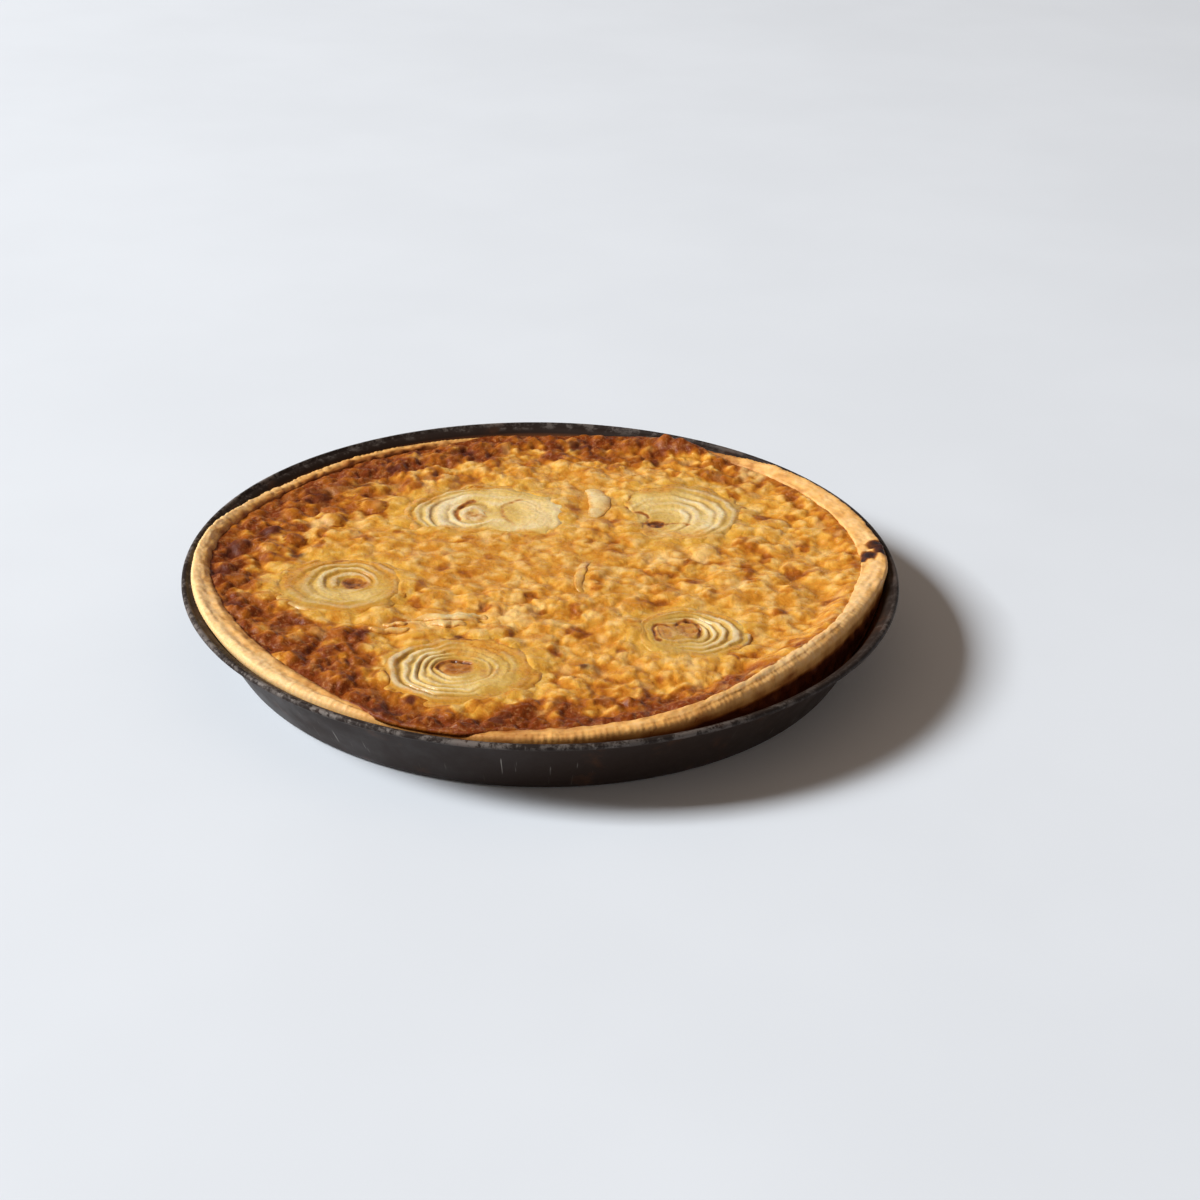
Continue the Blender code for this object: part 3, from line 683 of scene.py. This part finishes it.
def custardFinish():
    finish, tree, shader, place = newFinish("bakedCustard", custard)
    brown, burnt, pale, knoll, juice = field(tree, "brown", "burnt", "pale", "knoll", "juice")
    cloud = speckle(tree, place, 85.0, 4.0, 0.6, 0.4)
    curd = speckle(tree, place, 300.0, 4.0, 0.6, 0.5)
    crumb = spread(tree, speckle(tree, place, 240.0, 5.0, 0.7, 1.0), 0.54, 0.72)
    tiny = speckle(tree, place, 900.0, 3.0, 0.6)
    # Painted shade and highlight from the curds' height: amber in the hollows between them, golden on them,
    # and the light colour on the highest.
    high = sway(tree, knoll, curd, 0.7)
    warm = tint(tree, spread(tree, high, 0.1, 0.6), custard["amber"], custard["golden"])
    warm = coat(tree, warm, custard, ("amber", spread(tree, cloud, 0.4, 0.66), 0.5), ("juice", juice, 0.75),
                ("light", spread(tree, high, 0.5, 1.0), 0.6), ("light", crumb, 0.45))
    # Painted highlight in the browned parts: the tone is paler on top of the curds and darker between them.
    tone = sway(tree, sway(tree, brown, cloud, 0.9), high, -0.55, middle=0.4, clamp=True)
    toasted = ramp(tree, tone, custard, golden=0.0, amber=0.3, brown=0.6, deep=1.0)
    base = tint(tree, spread(tree, tone, 0.05, 0.45), warm, toasted)
    grain = spread(tree, speckle(tree, place, 620.0, 4.0, 0.7, 0.6), 0.5, 0.68)
    grain = times(tree, grain, spread(tree, tone, 0.3, 0.8, 0.0, 0.36))
    base = coat(tree, base, custard, ("grain", grain, 1.0), ("light", pale, 0.6), ("burnt", burnt, 1.0))
    dull = plus(tree, times(tree, spread(tree, tone, 0.1, 0.8), 0.12), times(tree, burnt, 0.15))
    rough = plus(tree, spread(tree, curd, 0.3, 0.7, 0.22, 0.42), dull)
    dress(tree, shader, base, rough, ((curd, 0.0005), (tiny, 0.0002)))
    return finish


def discGrid(cells):  # an even grid over the unit disc
    steps = np.linspace(-1, 1, cells + 1)
    a, b = np.meshgrid(steps, steps, indexing="xy")
    wide = np.abs(a) > np.abs(b)
    radius = np.where(wide, a, b)
    safe = np.where(radius == 0, 1, radius)
    turn = np.where(wide, math.pi / 4 * b / safe, math.pi / 2 - math.pi / 4 * a / safe)
    return radius * np.cos(turn), radius * np.sin(turn)


def makeCustard(slices, layers):
    u, v = discGrid(custard["grid"])
    degrees = np.degrees(np.arctan2(v, u)) % 360
    edgeRadius = custardEdge(degrees)[0]
    x, y = u * edgeRadius, v * edgeRadius
    level, rough, calm = custardLevel(x, y)

    def wave(size, seed):
        return waves(x, y, size, seed)

    def spotsAt(rows, jitter, low, high):  # 1 on round spots with ragged edges
        total = np.zeros(x.shape)
        for spot in inMetres(rows, 3, 100):
            total = np.maximum(total, 1 - smooth(low, high, spotShare(x, y, *spot) + jitter))
        return total

    # browning: the edge all round, then patches and spots
    edge, reach = roundTable(custard["browning"], degrees)
    inward = 1000 * (edgeRadius - np.hypot(x, y)) / reach
    brown = edge * (1 - smooth(0.1, 1.15, inward + 0.36 * wave(0.011, 31.0)))
    for *patch, amount in inMetres(custard["patches"], 4, 100):
        brown = np.maximum(brown, amount * hill(x, y, *patch))
    patchy = 0.62 * wave(0.009, 33.0) + 0.3 * wave(0.004, 34.0)
    spots = 0.6 * smooth(0.1, 0.5, wave(0.0085, 41.0)) * (0.3 + 0.7 * calm)
    brown = np.clip(np.maximum(brown, spots) + patchy * smooth(0.1, 0.5, brown), 0, 1.15)

    # finer curds on the big lumps, pushed about so that none looks round
    bentX, bentY = x + 0.0016 * wave(0.0065, 21.0), y + 0.0016 * wave(0.0065, 22.0)
    curds = domes(bentX, bentY, custard["curdSize"], 0.72, 3.0)
    small = domes(bentX, bentY, custard["smallCurdSize"], 0.72, 5.0)
    # knoll, the curds' height, is used to paint shade between the curds and highlights on them.
    knoll = curds * 0.6 + small * 0.4
    wild = np.clip(0.55 + brown * 0.8, 0.25, 1.25) * (0.35 + 0.65 * calm)
    rise = custard["curdHeight"] * (curds - 0.42) + custard["smallCurdHeight"] * (small - 0.4)
    rise = wild * (rise + 0.0004 * wave(0.0023, 8.0))
    rise += 0.0008 * domes(x, y, 0.0095, 0.42, 17.0) * smooth(0.55, 0.9, brown)
    for *bubble, tone in inMetres(custard["bigBubbles"], 3, 100):
        share = spotShare(x, y, *bubble) * (1 + 0.14 * wave(0.005, 37.0))
        inside = 1 - smooth(0.8, 1.1, share)
        rise = mix(rise, custard["bubbleHeight"] * np.sqrt(np.clip(1 - 0.9 * share ** 2, 0, 1)), inside)
        brown = mix(brown, tone + 0.12 * wave(0.0025, 38.0), inside)
        brown = np.maximum(brown, 0.85 * np.exp(-((share - 1.12) / 0.14) ** 2))
        knoll = mix(knoll, 0.45, inside)

    burnt = 0.9 * spotsAt(custard["darkSpots"], 0.75 * wave(0.0042, 14.0), 0.25, 0.95)
    pale = spotsAt(custard["paleSpots"], 0.7 * wave(0.0035, 15.0), 0.3, 1.0)
    pale = np.maximum(pale, 0.7 * smooth(0.15, 0.6, wave(0.0065, 43.0)) * (1 - brown))
    for settings in layers:  # no curds on the loose layers
        for cx, cy, arcRadius, start, end, width, _ in settings["arcs"]:
            aside = np.abs(np.hypot(x - cx, y - cy) - arcRadius)
            turned = turnedFrom(np.degrees(np.arctan2(y - cy, x - cx)), (start + end) / 2)
            near = (1 - smooth(0.6, 1.4, aside / width)) * (1 - smooth(0.9, 1.3, 2 * turned / (end - start)))
            rise = rise * (1 - 0.85 * near) - 0.0004 * near
    sink, juice = np.zeros(x.shape), np.zeros(x.shape)
    for settings in slices:  # low under the slices, calm and juicy beside them
        share = sliceShare(settings, x, y)
        sink = np.maximum(sink, 1 - smooth(0.66, 0.84, share))
        near = 1 - smooth(1.0, 1.3, share + 0.15 * wave(0.01, 35.0))
        rise = rise * (1 - 0.5 * near)
        brown = brown * (1 - 0.35 * near)
        juice = np.maximum(juice, 0.6 * near)
    height = np.minimum(level + rise * rough - 0.0032 * sink, cadHigh.z - 0.0001)

    # skirt down inside the pastry
    index = np.arange(x.size).reshape(x.shape)
    border = np.concatenate([index[0, :-1], index[:-1, -1], index[-1, :0:-1], index[:0:-1, 0]])
    turn = degrees.ravel()[border]
    covered = smooth(0, 0.5, overflowAt(turn))
    _, _, inner, innerTop = rimAt(turn)
    rimRadius, rimHeight = edgeRadius.ravel()[border], height.ravel()[border]
    skirt = [(rimRadius + 0.0003 * covered, rimHeight - mix(0.0003, 0.0016, covered)),
             (mix(inner - 0.0022, inner, covered) - 0.0006, innerTop + mix(-0.0026, 0.0004, covered)),
             (custardEdge(turn)[2] - 0.0006, 0.02), *custard["floor"]]
    points = asPoints(x, y, height)
    rings = [border.tolist(), *ringNumbers(len(skirt), len(border), len(points))]
    for radius, level in skirt:
        points += ringPoints(radius, level, np.radians(turn))
    points.append([0, 0, custard["floor"][-1][1]])
    faces = np.stack([index[:-1, :-1], index[:-1, 1:], index[1:, 1:], index[1:, :-1]], axis=-1)
    faces = faces.reshape(-1, 4).tolist() + bandFaces(rings, turned=True)
    faces += capFaces(rings[-1], len(points) - 1, up=False)
    extra = len(points) - x.size
    fields = {"brown": [*brown.ravel(), *[0.5] * extra]}
    for name, values in (("burnt", burnt), ("pale", pale), ("knoll", knoll), ("juice", juice)):
        fields[name] = [*values.ravel(), *[0] * extra]
    addPiece("custard_dressed", points, faces, custardFinish(), ["custard_filling"], fields)


# Onion slices. Lengths are in millimetres, except the depth of the bowl. Hearts: x, y and size. Rings:
# where each ends, as a share of the way to the outline, and its tone from 0 pale to 1 amber. Veils of
# custard: x, y, reach along x and y, amount. Fields, where the rings fade out, add their tone. Browned
# marks: x, y, half width and depth, first and last angle, width of the line or 0 if filled, amount.

onionSlices = (
    {"node": "onion_slice_back_left", "centre": (-24, 46.5), "half": (36.5, 30.5), "turn": 3,
     "cut": (267, 16.5), "hearts": ((-29, 47.5, 0.95), (-7, 47, 0.9)), "deep": 0.45,
     "rings": ((0.22, 0.5), (0.34, 0.22), (0.6, 0.1), (0.7, 0.3), (0.8, 0.62), (1.0, 0.85)),
     "strongSide": 180, "faint": 0.14, "strong": 0.66, "bowl": 0.0002,
     "fields": ((5, 48, 15, 19, 1.0, 0.08), (-18, 64, 12, 5, 0.5, 0.5)),
     "veils": ((-52, 66, 12, 9, 1.0), (-24, 75, 30, 5, 0.8),
               (-60, 45, 5, 14, 0.8)),
     "browned": ((-29, 47.8, 6, 11.2, 75, 215, 0.15, 0.72),
                 (-27.5, 46, 6.2, 10, 0, 0, 0, 0.24),
                 (-7, 47, 9.5, 12.5, 80, 250, 0.12, 0.31))},
    {"node": "onion_slice_back_right", "centre": (57, 50.5), "half": (30.5, 30.5), "turn": 0,
     "cut": (190, 21.5), "hearts": ((48, 41, 0.85),), "deep": 0.15,
     "rings": ((0.13, 0.45), (0.27, 0.4), (0.41, 0.2), (0.56, 0.38), (0.7, 0.12), (0.84, 0.3), (1.0, 0.75)),
     "strongSide": -5, "faint": 0.22, "strong": 0.62, "bowl": 0.0008,
     "fields": ((46, 62, 14, 7, 0.5, 0.35), (60, 42, 8, 6, 0.5, 0.2)),
     "veils": ((42, 74, 15, 9, 0.9), (38, 30, 13, 10, 1.0),
               (58, 27, 17, 6, 0.8), (76, 74, 10, 10, 0.8)),
     # the first mark darkens the hole in this slice's heart
     "browned": ((46.2, 40, 4.4, 3.2, 0, 0, 0, 0.95),
                 (40, 44.5, 3.4, 5.2, 0, 360, 0.3, 0.5),
                 (54, 37.5, 7, 3, 0, 180, 0.25, 0.42))},
    {"node": "onion_slice_left", "centre": (-78, -18), "half": (28.8, 26.5), "turn": -8,
     "cut": None, "hearts": ((-73, -14.5, 1.0),), "deep": 0.22,
     "rings": ((0.16, 0.76), (0.32, 0.84), (0.47, 0.62), (0.62, 0.72), (0.8, 0.9), (1.0, 0.98)),
     "strongSide": 130, "faint": 0.32, "strong": 0.52, "bowl": 0.001,
     "fields": ((-76, -29, 17, 8, 0.7, 0.32), (-93, -25, 11, 9, 0.6, 0.6)),
     "veils": ((-99, -10, 9, 22, 0.8), (-70, 6, 28, 6, 0.9),
               (-84, -43, 18, 5, 0.7)),
     "browned": ((-73.8, -15, 4.6, 5.8, 0, 0, 0, 0.8),
                 (-70, -17, 4.4, 4.4, 0, 0, 0, 0.45),
                 (-73.5, -8, 12, 12, 70, 150, 0.13, 0.42))},
    {"node": "onion_slice_front", "centre": (-29.5, -84.5), "half": (32.5, 27.8), "turn": 0,
     "cut": None, "hearts": ((-29.5, -82, 1.0),), "deep": 0.12,
     "rings": ((0.19, 0.88), (0.29, 0.72), (0.38, 0.55), (0.47, 0.45), (0.57, 0.36), (0.68, 0.52),
               (0.84, 0.92), (1.0, 1.00)),
     "strongSide": 190, "faint": 0.28, "strong": 0.7, "bowl": 0.001,
     "fields": ((-24, -92, 13, 6, 0.6, 0.25), (-15, -80, 8, 10, 0.2, 0.5)),
     "veils": ((-15, -66, 17, 8, 1.0), (-2, -85, 6, 15, 0.8),
               (-45, -64, 11, 5, 0.7), (-20, -74, 9, 5, 0.55)),
     "browned": ((-30.5, -82, 6.6, 6.6, 0, 0, 0, 0.46),
                 (-30.7, -82.2, 6, 6.2, 30, 215, 0.2, 0.85),
                 (-18, -86, 7, 6, 0, 0, 0, 0.2),
                 (-30, -61, 9, 2.8, 0, 0, 0, 0.6))},
    {"node": "onion_slice_right", "centre": (56.5, -54.5), "half": (23, 21), "turn": -12,
     "cut": None, "hearts": ((46, -55, 0.85), (54.5, -52.5, 0.9)), "deep": 0.3,
     "rings": ((0.24, 0.82), (0.38, 0.64), (0.52, 0.46), (0.66, 0.56), (0.8, 0.68), (1.0, 0.9)),
     "strongSide": -10, "faint": 0.18, "strong": 0.75, "bowl": 0.0006,
     "fields": ((44, -69, 14, 7, 0.8, 0.6),),
     "veils": ((42, -72, 18, 6, 0.9), (38, -42, 8, 7, 0.7),
               (70, -70, 10, 6, 0.6)),
     "browned": ((45.8, -55, 4.2, 6, 0, 0, 0, 0.3),
                 (45.8, -55, 4.2, 6, 30, 260, 0.2, 0.78),
                 (54.8, -52, 4.2, 7, 0, 0, 0, 0.36),
                 (54.8, -52, 4.2, 7, 320, 520, 0.2, 0.78))},
)

onion = {
    "around": 320,
    "steps": 108,
    "wobble": 0.045,
    "proud": 0.0005,
    "relief": 0.00038,
    "gap": 0.00046,
    "bend": 0.0017,
    # edge and between: painted highlight on the ring ridges and painted shade in the gaps between rings
    "edge": (0.8, 0.69, 0.48),
    "pale": (0.86, 0.69, 0.385),
    "cream": (0.8, 0.56, 0.185),
    "golden": (0.61, 0.365, 0.068),
    "amber": (0.58, 0.27, 0.03),
    "between": (0.34, 0.155, 0.022),
    "tan": (0.62, 0.31, 0.075),
    "rust": (0.4, 0.135, 0.018),
    "heart": (0.115, 0.028, 0.006),
    "specular": 0.45,
    "subsurface": (0.3, (1.0, 0.6, 0.22), 0.004),
    "layerSteps": (60, 14),  # along a loose layer and round it
}


def outlineReach(settings, angle):  # distance from a slice's centre to its outline
    halfX, halfY = np.divide(settings["half"], 1000)
    bearing = angle - math.radians(settings["turn"])
    wobble = waves(2 * np.cos(angle), 2 * np.sin(angle), 1.0, 0.04 * settings["centre"][0])
    across = np.hypot(halfY * np.cos(bearing), halfX * np.sin(bearing))
    return (1 + onion["wobble"] * wobble) * halfX * halfY / across


def cutReach(settings, angle):  # distance to the line where custard has run over the slice
    if settings["cut"] is None:
        return np.full(np.shape(angle), 1.0)
    towards, distance = settings["cut"]
    facing = np.cos(angle - math.radians(towards))
    return np.where(facing > 0.05, distance / 1000 / np.maximum(facing, 0.05), 1.0)


def sliceShare(settings, x, y):  # 0 at a slice's centre, 1 at its shown outline
    cx, cy = np.divide(settings["centre"], 1000)
    away = np.hypot(x - cx, y - cy)
    near = away < 0.05
    angle = np.arctan2(y - cy, x - cx)[near]
    share = np.full(np.shape(x), 9.0)
    share[near] = away[near] / np.minimum(outlineReach(settings, angle), cutReach(settings, angle))
    return share


def ringShare(settings, x, y):  # 0 at the hearts, 1 at the whole outline
    cx, cy = np.divide(settings["centre"], 1000)
    angle = np.linspace(-math.pi, math.pi, 361)
    reach = outlineReach(settings, angle)
    ox, oy = cx + reach * np.cos(angle), cy + reach * np.sin(angle)
    shares = []
    for hx, hy, size in inMetres(settings["hearts"], 2, 1000):
        bearings = np.arctan2(oy - hy, ox - hx)
        order = np.argsort(bearings)
        turn = np.arctan2(y - hy, x - hx)
        lengths = np.interp(turn, bearings[order], np.hypot(ox - hx, oy - hy)[order], period=math.tau)
        share = spotShare(x, y, hx, hy, lengths)
        shares.append(share * (1 - settings["deep"] * np.clip(1 - share, 0, 1) * np.sin(turn) ** 2) / size)
    if len(shares) == 1:
        return shares[0]
    a, b = shares
    blend = 0.1
    h = np.clip(0.5 + 0.5 * (b - a) / blend, 0, 1)
    joined = mix(b, a, h) - blend * h * (1 - h)
    whole = spotShare(x, y, cx, cy, np.interp(np.arctan2(y - cy, x - cx), angle, reach))
    return mix(np.maximum(joined, 0), whole, smooth(0.45, 0.95, whole))


def swing(bearing, index, phases):  # slow change on the way round, different for every ring
    return sum(np.sin((k + 1) * bearing + phases[k][index]) / (k + 1) for k in range(3)) / 1.6


def brownedAt(settings, x, y):
    total = np.zeros(x.shape)
    for cx, cy, halfX, halfY, start, end, width, amount in inMetres(settings["browned"], 4, 1000):
        dx, dy = (x - cx) / halfX, (y - cy) / halfY
        share = np.hypot(dx, dy)
        if width:
            half = (end - start) / 2
            aside = turnedFrom(np.degrees(np.arctan2(dy, dx)), (start + end) / 2)
            mark = np.exp(-((share - 1) / width) ** 2) * (1 - smooth(half - 25, half + 15, aside))
        else:
            mark = 1 - smooth(0.6, 1.1, share)
        total = np.maximum(total, amount * mark)
    return total


def onionFinish():
    finish, tree, shader, place = newFinish("bakedOnion", onion)
    groove, heart, yellow, veil, ridge = field(tree, "groove", "heart", "yellow", "veil", "ridge")
    cloud = speckle(tree, place, 120.0, 4.0, 0.6, 0.3)
    fibre = speckle(tree, place, 420.0, 4.0, 0.65)
    tiny = speckle(tree, place, 1100.0, 2.0)
    # Painted highlight and shade: the ring ridges are paler and whitened with the edge colour, partly the
    # pale papery edges of the layers, and the gaps between rings are darkened with the between colour.
    tone = plus(tree, sway(tree, yellow, cloud, 0.7), times(tree, ridge, -0.15), clamp=True)
    base = ramp(tree, tone, onion, pale=0.0, cream=0.33, golden=0.68, amber=1.0)
    base = coat(tree, base, onion, ("edge", ridge, 0.55), ("between", groove, 0.7))
    cover = spread(tree, sway(tree, veil, cloud, 1.2), 0.15, 0.85)
    custardy = tint(tree, spread(tree, fibre, 0.35, 0.65), custard["amber"], custard["golden"])
    base = tint(tree, times(tree, cover, 0.85), base, custardy)
    browned = sway(tree, heart, fibre, 0.5, clamp=True)
    baked = ramp(tree, browned, onion, tan=0.15, rust=0.5, heart=0.95)
    base = tint(tree, spread(tree, browned, 0.06, 0.42), base, baked)
    rough = spread(tree, fibre, 0.3, 0.7, 0.24, 0.42)
    dress(tree, shader, base, rough, ((cloud, 0.0006), (fibre, 0.00022), (tiny, 0.00006)))
    return finish


def makeSlice(settings, finish):
    around, steps = onion["around"], onion["steps"]
    cx, cy = np.divide(settings["centre"], 1000)
    seed = 100 * cx
    theta = np.arange(around) * math.tau / around
    reach = np.minimum(outlineReach(settings, theta), cutReach(settings, theta) + 0.001)
    share = (np.arange(1, steps + 1) / steps)[:, None] * np.ones(around)
    x, y = cx + share * reach * np.cos(theta), cy + share * reach * np.sin(theta)

    def ripple(size, step):  # noise of this slice's own
        return waves(x, y, size, seed + step)

    rings, ringTones = zip(*settings["rings"])
    bentX = x + onion["bend"] * (ripple(0.01, 0) + 0.4 * ripple(0.0041, 1))
    bentY = y + onion["bend"] * (ripple(0.01, 4) + 0.4 * ripple(0.0041, 5))
    warped = ringShare(settings, bentX, bentY)
    number = np.interp(warped, [0, *rings], np.arange(len(rings) + 1))
    ring = np.minimum(np.floor(number), len(rings) - 1).astype(int)
    gapNumber = np.rint(number).astype(int)
    draw = np.random.default_rng(int(abs(1000 * cx)) + 3)
    phases = draw.uniform(0, math.tau, (3, 20))
    bearing = np.arctan2(y - cy, x - cx)

    # custard that veils the slice, and plain fields where the rings fade out
    veil = 0.95 * smooth(0.68, 1.0, share + 0.22 * ripple(0.008, 6))
    for *place, amount in inMetres(settings["veils"], 4, 1000):
        veil = np.maximum(veil, amount * hill(x, y, *place) ** 0.7)
    veil = np.clip(veil + 0.25 * ripple(0.004, 7) * smooth(0.05, 0.3, veil), 0, 1)
    plain, plainTone = np.zeros(x.shape), np.zeros(x.shape)
    for *place, amount, fieldTone in inMetres(settings["fields"], 4, 1000):
        here = amount * hill(x, y, *place) ** 0.7
        plainTone = np.where(here > plain, fieldTone, plainTone)
        plain = np.maximum(plain, here)
    veil = veil * (1 - 0.8 * plain)
    bare = (1 - 0.85 * veil) * (1 - plain)

    # soft ridges with thin gaps between them, both strongest on one side
    toSide = smooth(-0.6, 1.0, np.cos(bearing - math.radians(settings["strongSide"])))
    stands = settings["faint"] + settings["strong"] * toSide
    ridges = np.clip(stands + 0.5 * swing(bearing, ring, phases), 0.03, 1.1) * bare
    gaps = np.clip(stands + 0.6 * swing(bearing, gapNumber, phases[::-1]) - 0.1, 0, 1.1)
    gaps *= bare * (gapNumber > 0)
    crest = np.sin(math.pi * (number - ring)) ** 2
    ridge = ridges * smooth(0.45, 0.95, crest)
    groove = gaps * np.exp(-((number - gapNumber) / 0.17) ** 2)
    browned = brownedAt(settings, bentX, bentY) * np.clip(1 + 0.6 * ripple(0.0026, 12), 0.3, 1.3)
    middles = np.arange(len(rings)) + 0.5
    yellow = np.interp(number + 0.25 * ripple(0.005, 14), middles, ringTones)
    yellow = mix(yellow + 0.2 * (1 - toSide), plainTone, plain) + 0.28 * ripple(0.01, 15)

    heights = custardLevel(x, y, 0.15)[0] + onion["proud"] * (1 - 0.8 * veil)
    heights += onion["relief"] * ridges * crest - onion["gap"] * groove
    heights -= settings["bowl"] * (1 - smooth(0, 0.8, warped))
    heights += browned * (0.0005 * domes(x, y, 0.003, 0.7, seed) - 0.0007)
    heights += 0.00012 * ripple(0.0016, 8) + 0.00035 * ripple(0.0065, 10)
    heights -= 0.0013 * smooth(0.84, 1.0, share + 0.1 * ripple(0.006, 9)) + 0.0018 * smooth(0.93, 1.0, share)

    bottom = float(heights.min()) - 0.004
    points = [[cx, cy, float(heights[0].mean())]] + asPoints(x, y, heights)
    points += asPoints(x[-1], y[-1], np.full(around, bottom)) + [[cx, cy, bottom]]
    loops = ringNumbers(steps + 1, around, 1)
    faces = capFaces(loops[0], 0) + bandFaces(loops, turned=True)
    faces += capFaces(loops[-1], len(points) - 1, up=False)
    fields = {}
    for name, values, middle in (("groove", groove, 0), ("heart", browned, browned[0, 0]),
                                 ("yellow", yellow, ringTones[0]), ("veil", veil, 0), ("ridge", ridge, 0)):
        fields[name] = [middle, *np.clip(values, 0, 1).ravel(), *[0] * (around + 1)]
    addPiece(settings["node"] + "_dressed", points, faces, finish, [settings["node"]], fields)


# Loose onion layers: arcs of centre x and y, radius, first and last angle, width, height above the custard

onionLayers = (
    {"node": "onion_layer_back", "yellow": 0.38, "veil": 0.28, "tilt": -0.5,
     "arcs": ((0.003, 0.06, 0.0213, -42, 44, 0.0096, 0.0008),)},
    {"node": "onion_layer_middle", "yellow": 0.62, "veil": 0.6, "tilt": 0.4,
     "arcs": ((0.0405, -0.011, 0.0262, 138, 205, 0.004, 0.0005),)},
    {"node": "onion_layer_left", "yellow": 0.45, "veil": 0.45, "tilt": 0.2,
     "arcs": ((-0.0385, -0.083, 0.0385, 66, 106, 0.0054, 0.0012),
              (-0.037, -0.083, 0.0335, 74, 100, 0.004, 0.001),
              (-0.03, -0.064, 0.0215, 62, 104, 0.0036, 0.001))},
    {"node": "onion_layer_far_left", "yellow": 0.5, "veil": 0.5, "tilt": 0.3,
     "arcs": ((-0.056, -0.035, 0.019, 244, 292, 0.0042, 0.0013),
              (-0.054, -0.033, 0.016, 250, 285, 0.003, 0.0011))},
)


def makeLayer(settings, finish):
    along, across = onion["layerSteps"]
    t = np.linspace(0, 1, along + 1)
    fade = np.sin(math.pi * t) ** 0.35
    points, faces, edges = [], [], []
    for cx, cy, radius, start, end, width, tall in settings["arcs"]:
        angle = np.radians(mix(start, end, t))
        middle = radius + 0.0006 * np.sin(9 * t) + 0.0007 * waves(t, 0 * t, 0.16, 50 * cx)
        half = width / 2 * (0.25 + 0.75 * np.sin(math.pi * t) ** 0.6)
        loops = ringNumbers(across, along + 1, len(points))
        for j in range(across):
            turn = math.tau * j / across
            side, up = math.cos(turn), math.sin(turn)
            x, y = cx + (middle + half * side) * np.cos(angle), cy + (middle + half * side) * np.sin(angle)
            top = tall * up * (1 + 0.5 * side * settings["tilt"]) if up > 0 else 0.003 * up
            ripple = 0.00035 * waves(x, y, 0.0035, 50 * cx + j * 0.1)
            lift = (top + ripple) * fade - 0.0008 * (1 - fade) - 0.0002
            points += asPoints(x, y, custardLevel(x, y)[0] + lift)
            edges += np.maximum(0.9 * abs(side) ** 3, 1 - fade).tolist()
        for here, after in zip(loops, loops[1:] + loops[:1]):
            faces += zip(here, here[1:], after[1:], after)
        faces.append([row[0] for row in loops])
        faces.append([row[-1] for row in reversed(loops)])
    # the loose layers take half of the ridges' painted highlight
    plain = {"groove": 0, "heart": 0, "yellow": settings["yellow"], "ridge": 0.5}
    fields = {name: [value] * len(points) for name, value in plain.items()}
    fields["veil"] = np.clip(settings["veil"] + 0.6 * np.array(edges), 0, 1)
    addPiece(settings["node"] + "_dressed", points, faces, finish, [settings["node"]], fields)


makeCustard(onionSlices, onionLayers)
onionFinished = onionFinish()
for sliceSettings in onionSlices:
    makeSlice(sliceSettings, onionFinished)
for layerSettings in onionLayers:
    makeLayer(layerSettings, onionFinished)


# Table, light and camera

room = {
    "floorColour": (0.745, 0.8, 0.86),
    "floorRadius": 6.0,
    "floorPoints": 96,
    "floorRoughness": 0.9,
    "specular": 0.12,
    "sky": (0.195, 0.138, 0.098),
    "horizon": (0.62, 0.65, 0.69),
    "horizonTop": (0.2, 0.32),  # where the pale horizon starts and ends to fade, as a share of straight up
    "keyPlace": (-5.5, -0.38, 4.3),
    "keySize": 2.1,
    "keyPower": 700.0,
    "keyColour": (0.98, 0.99, 1.0),
    "cameraPlace": (0.0, -0.77446, 0.41741),
    "cameraTurn": (62.3692, -1.2039, -1.088),
    "lens": 66.0,
}


def makeRoom():
    theta = np.arange(room["floorPoints"]) * math.tau / room["floorPoints"]
    edge = ringPoints(room["floorRadius"], 0, theta)
    mesh = bpy.data.meshes.new("table")
    mesh.from_pydata(edge, [], [range(len(edge))])
    finish, tree, shader, place = newFinish("palePaintedTable", room)
    soft = spread(tree, speckle(tree, place, 6.0, 3.0), 0.3, 0.7)
    low = [0.97 * c for c in room["floorColour"]]
    dress(tree, shader, tint(tree, soft, low, room["floorColour"]), room["floorRoughness"])
    mesh.materials.append(finish)
    table = addObject("table", mesh)

    world = bpy.data.worlds.new("softRoom")
    world.use_nodes = True
    tree = world.node_tree
    outward = addNode(tree, "TexCoord").outputs["Generated"]
    upward = addNode(tree, "SeparateXYZ", {"Vector": outward}).outputs["Z"]
    sky = tint(tree, spread(tree, upward, *room["horizonTop"]), room["horizon"], room["sky"])
    plug(tree, tree.nodes["Background"].inputs["Color"], sky)
    bpy.context.scene.world = world

    light = bpy.data.lights.new("windowLight", "AREA")
    light.size = room["keySize"]
    light.energy = room["keyPower"]
    light.color = room["keyColour"]
    lamp = addObject("windowLight", light)
    lamp.location = room["keyPlace"]
    lamp.rotation_euler = (-lamp.location).to_track_quat("-Z", "Y").to_euler()

    lens = bpy.data.cameras.new("camera")
    lens.lens = room["lens"]
    camera = addObject("camera", lens)
    camera.location = room["cameraPlace"]
    camera.rotation_euler = [math.radians(a) for a in room["cameraTurn"]]
    bpy.context.scene.camera = camera
    bpy.context.scene.view_settings.view_transform = "Standard"
    print("table, light and camera placed")


makeRoom()
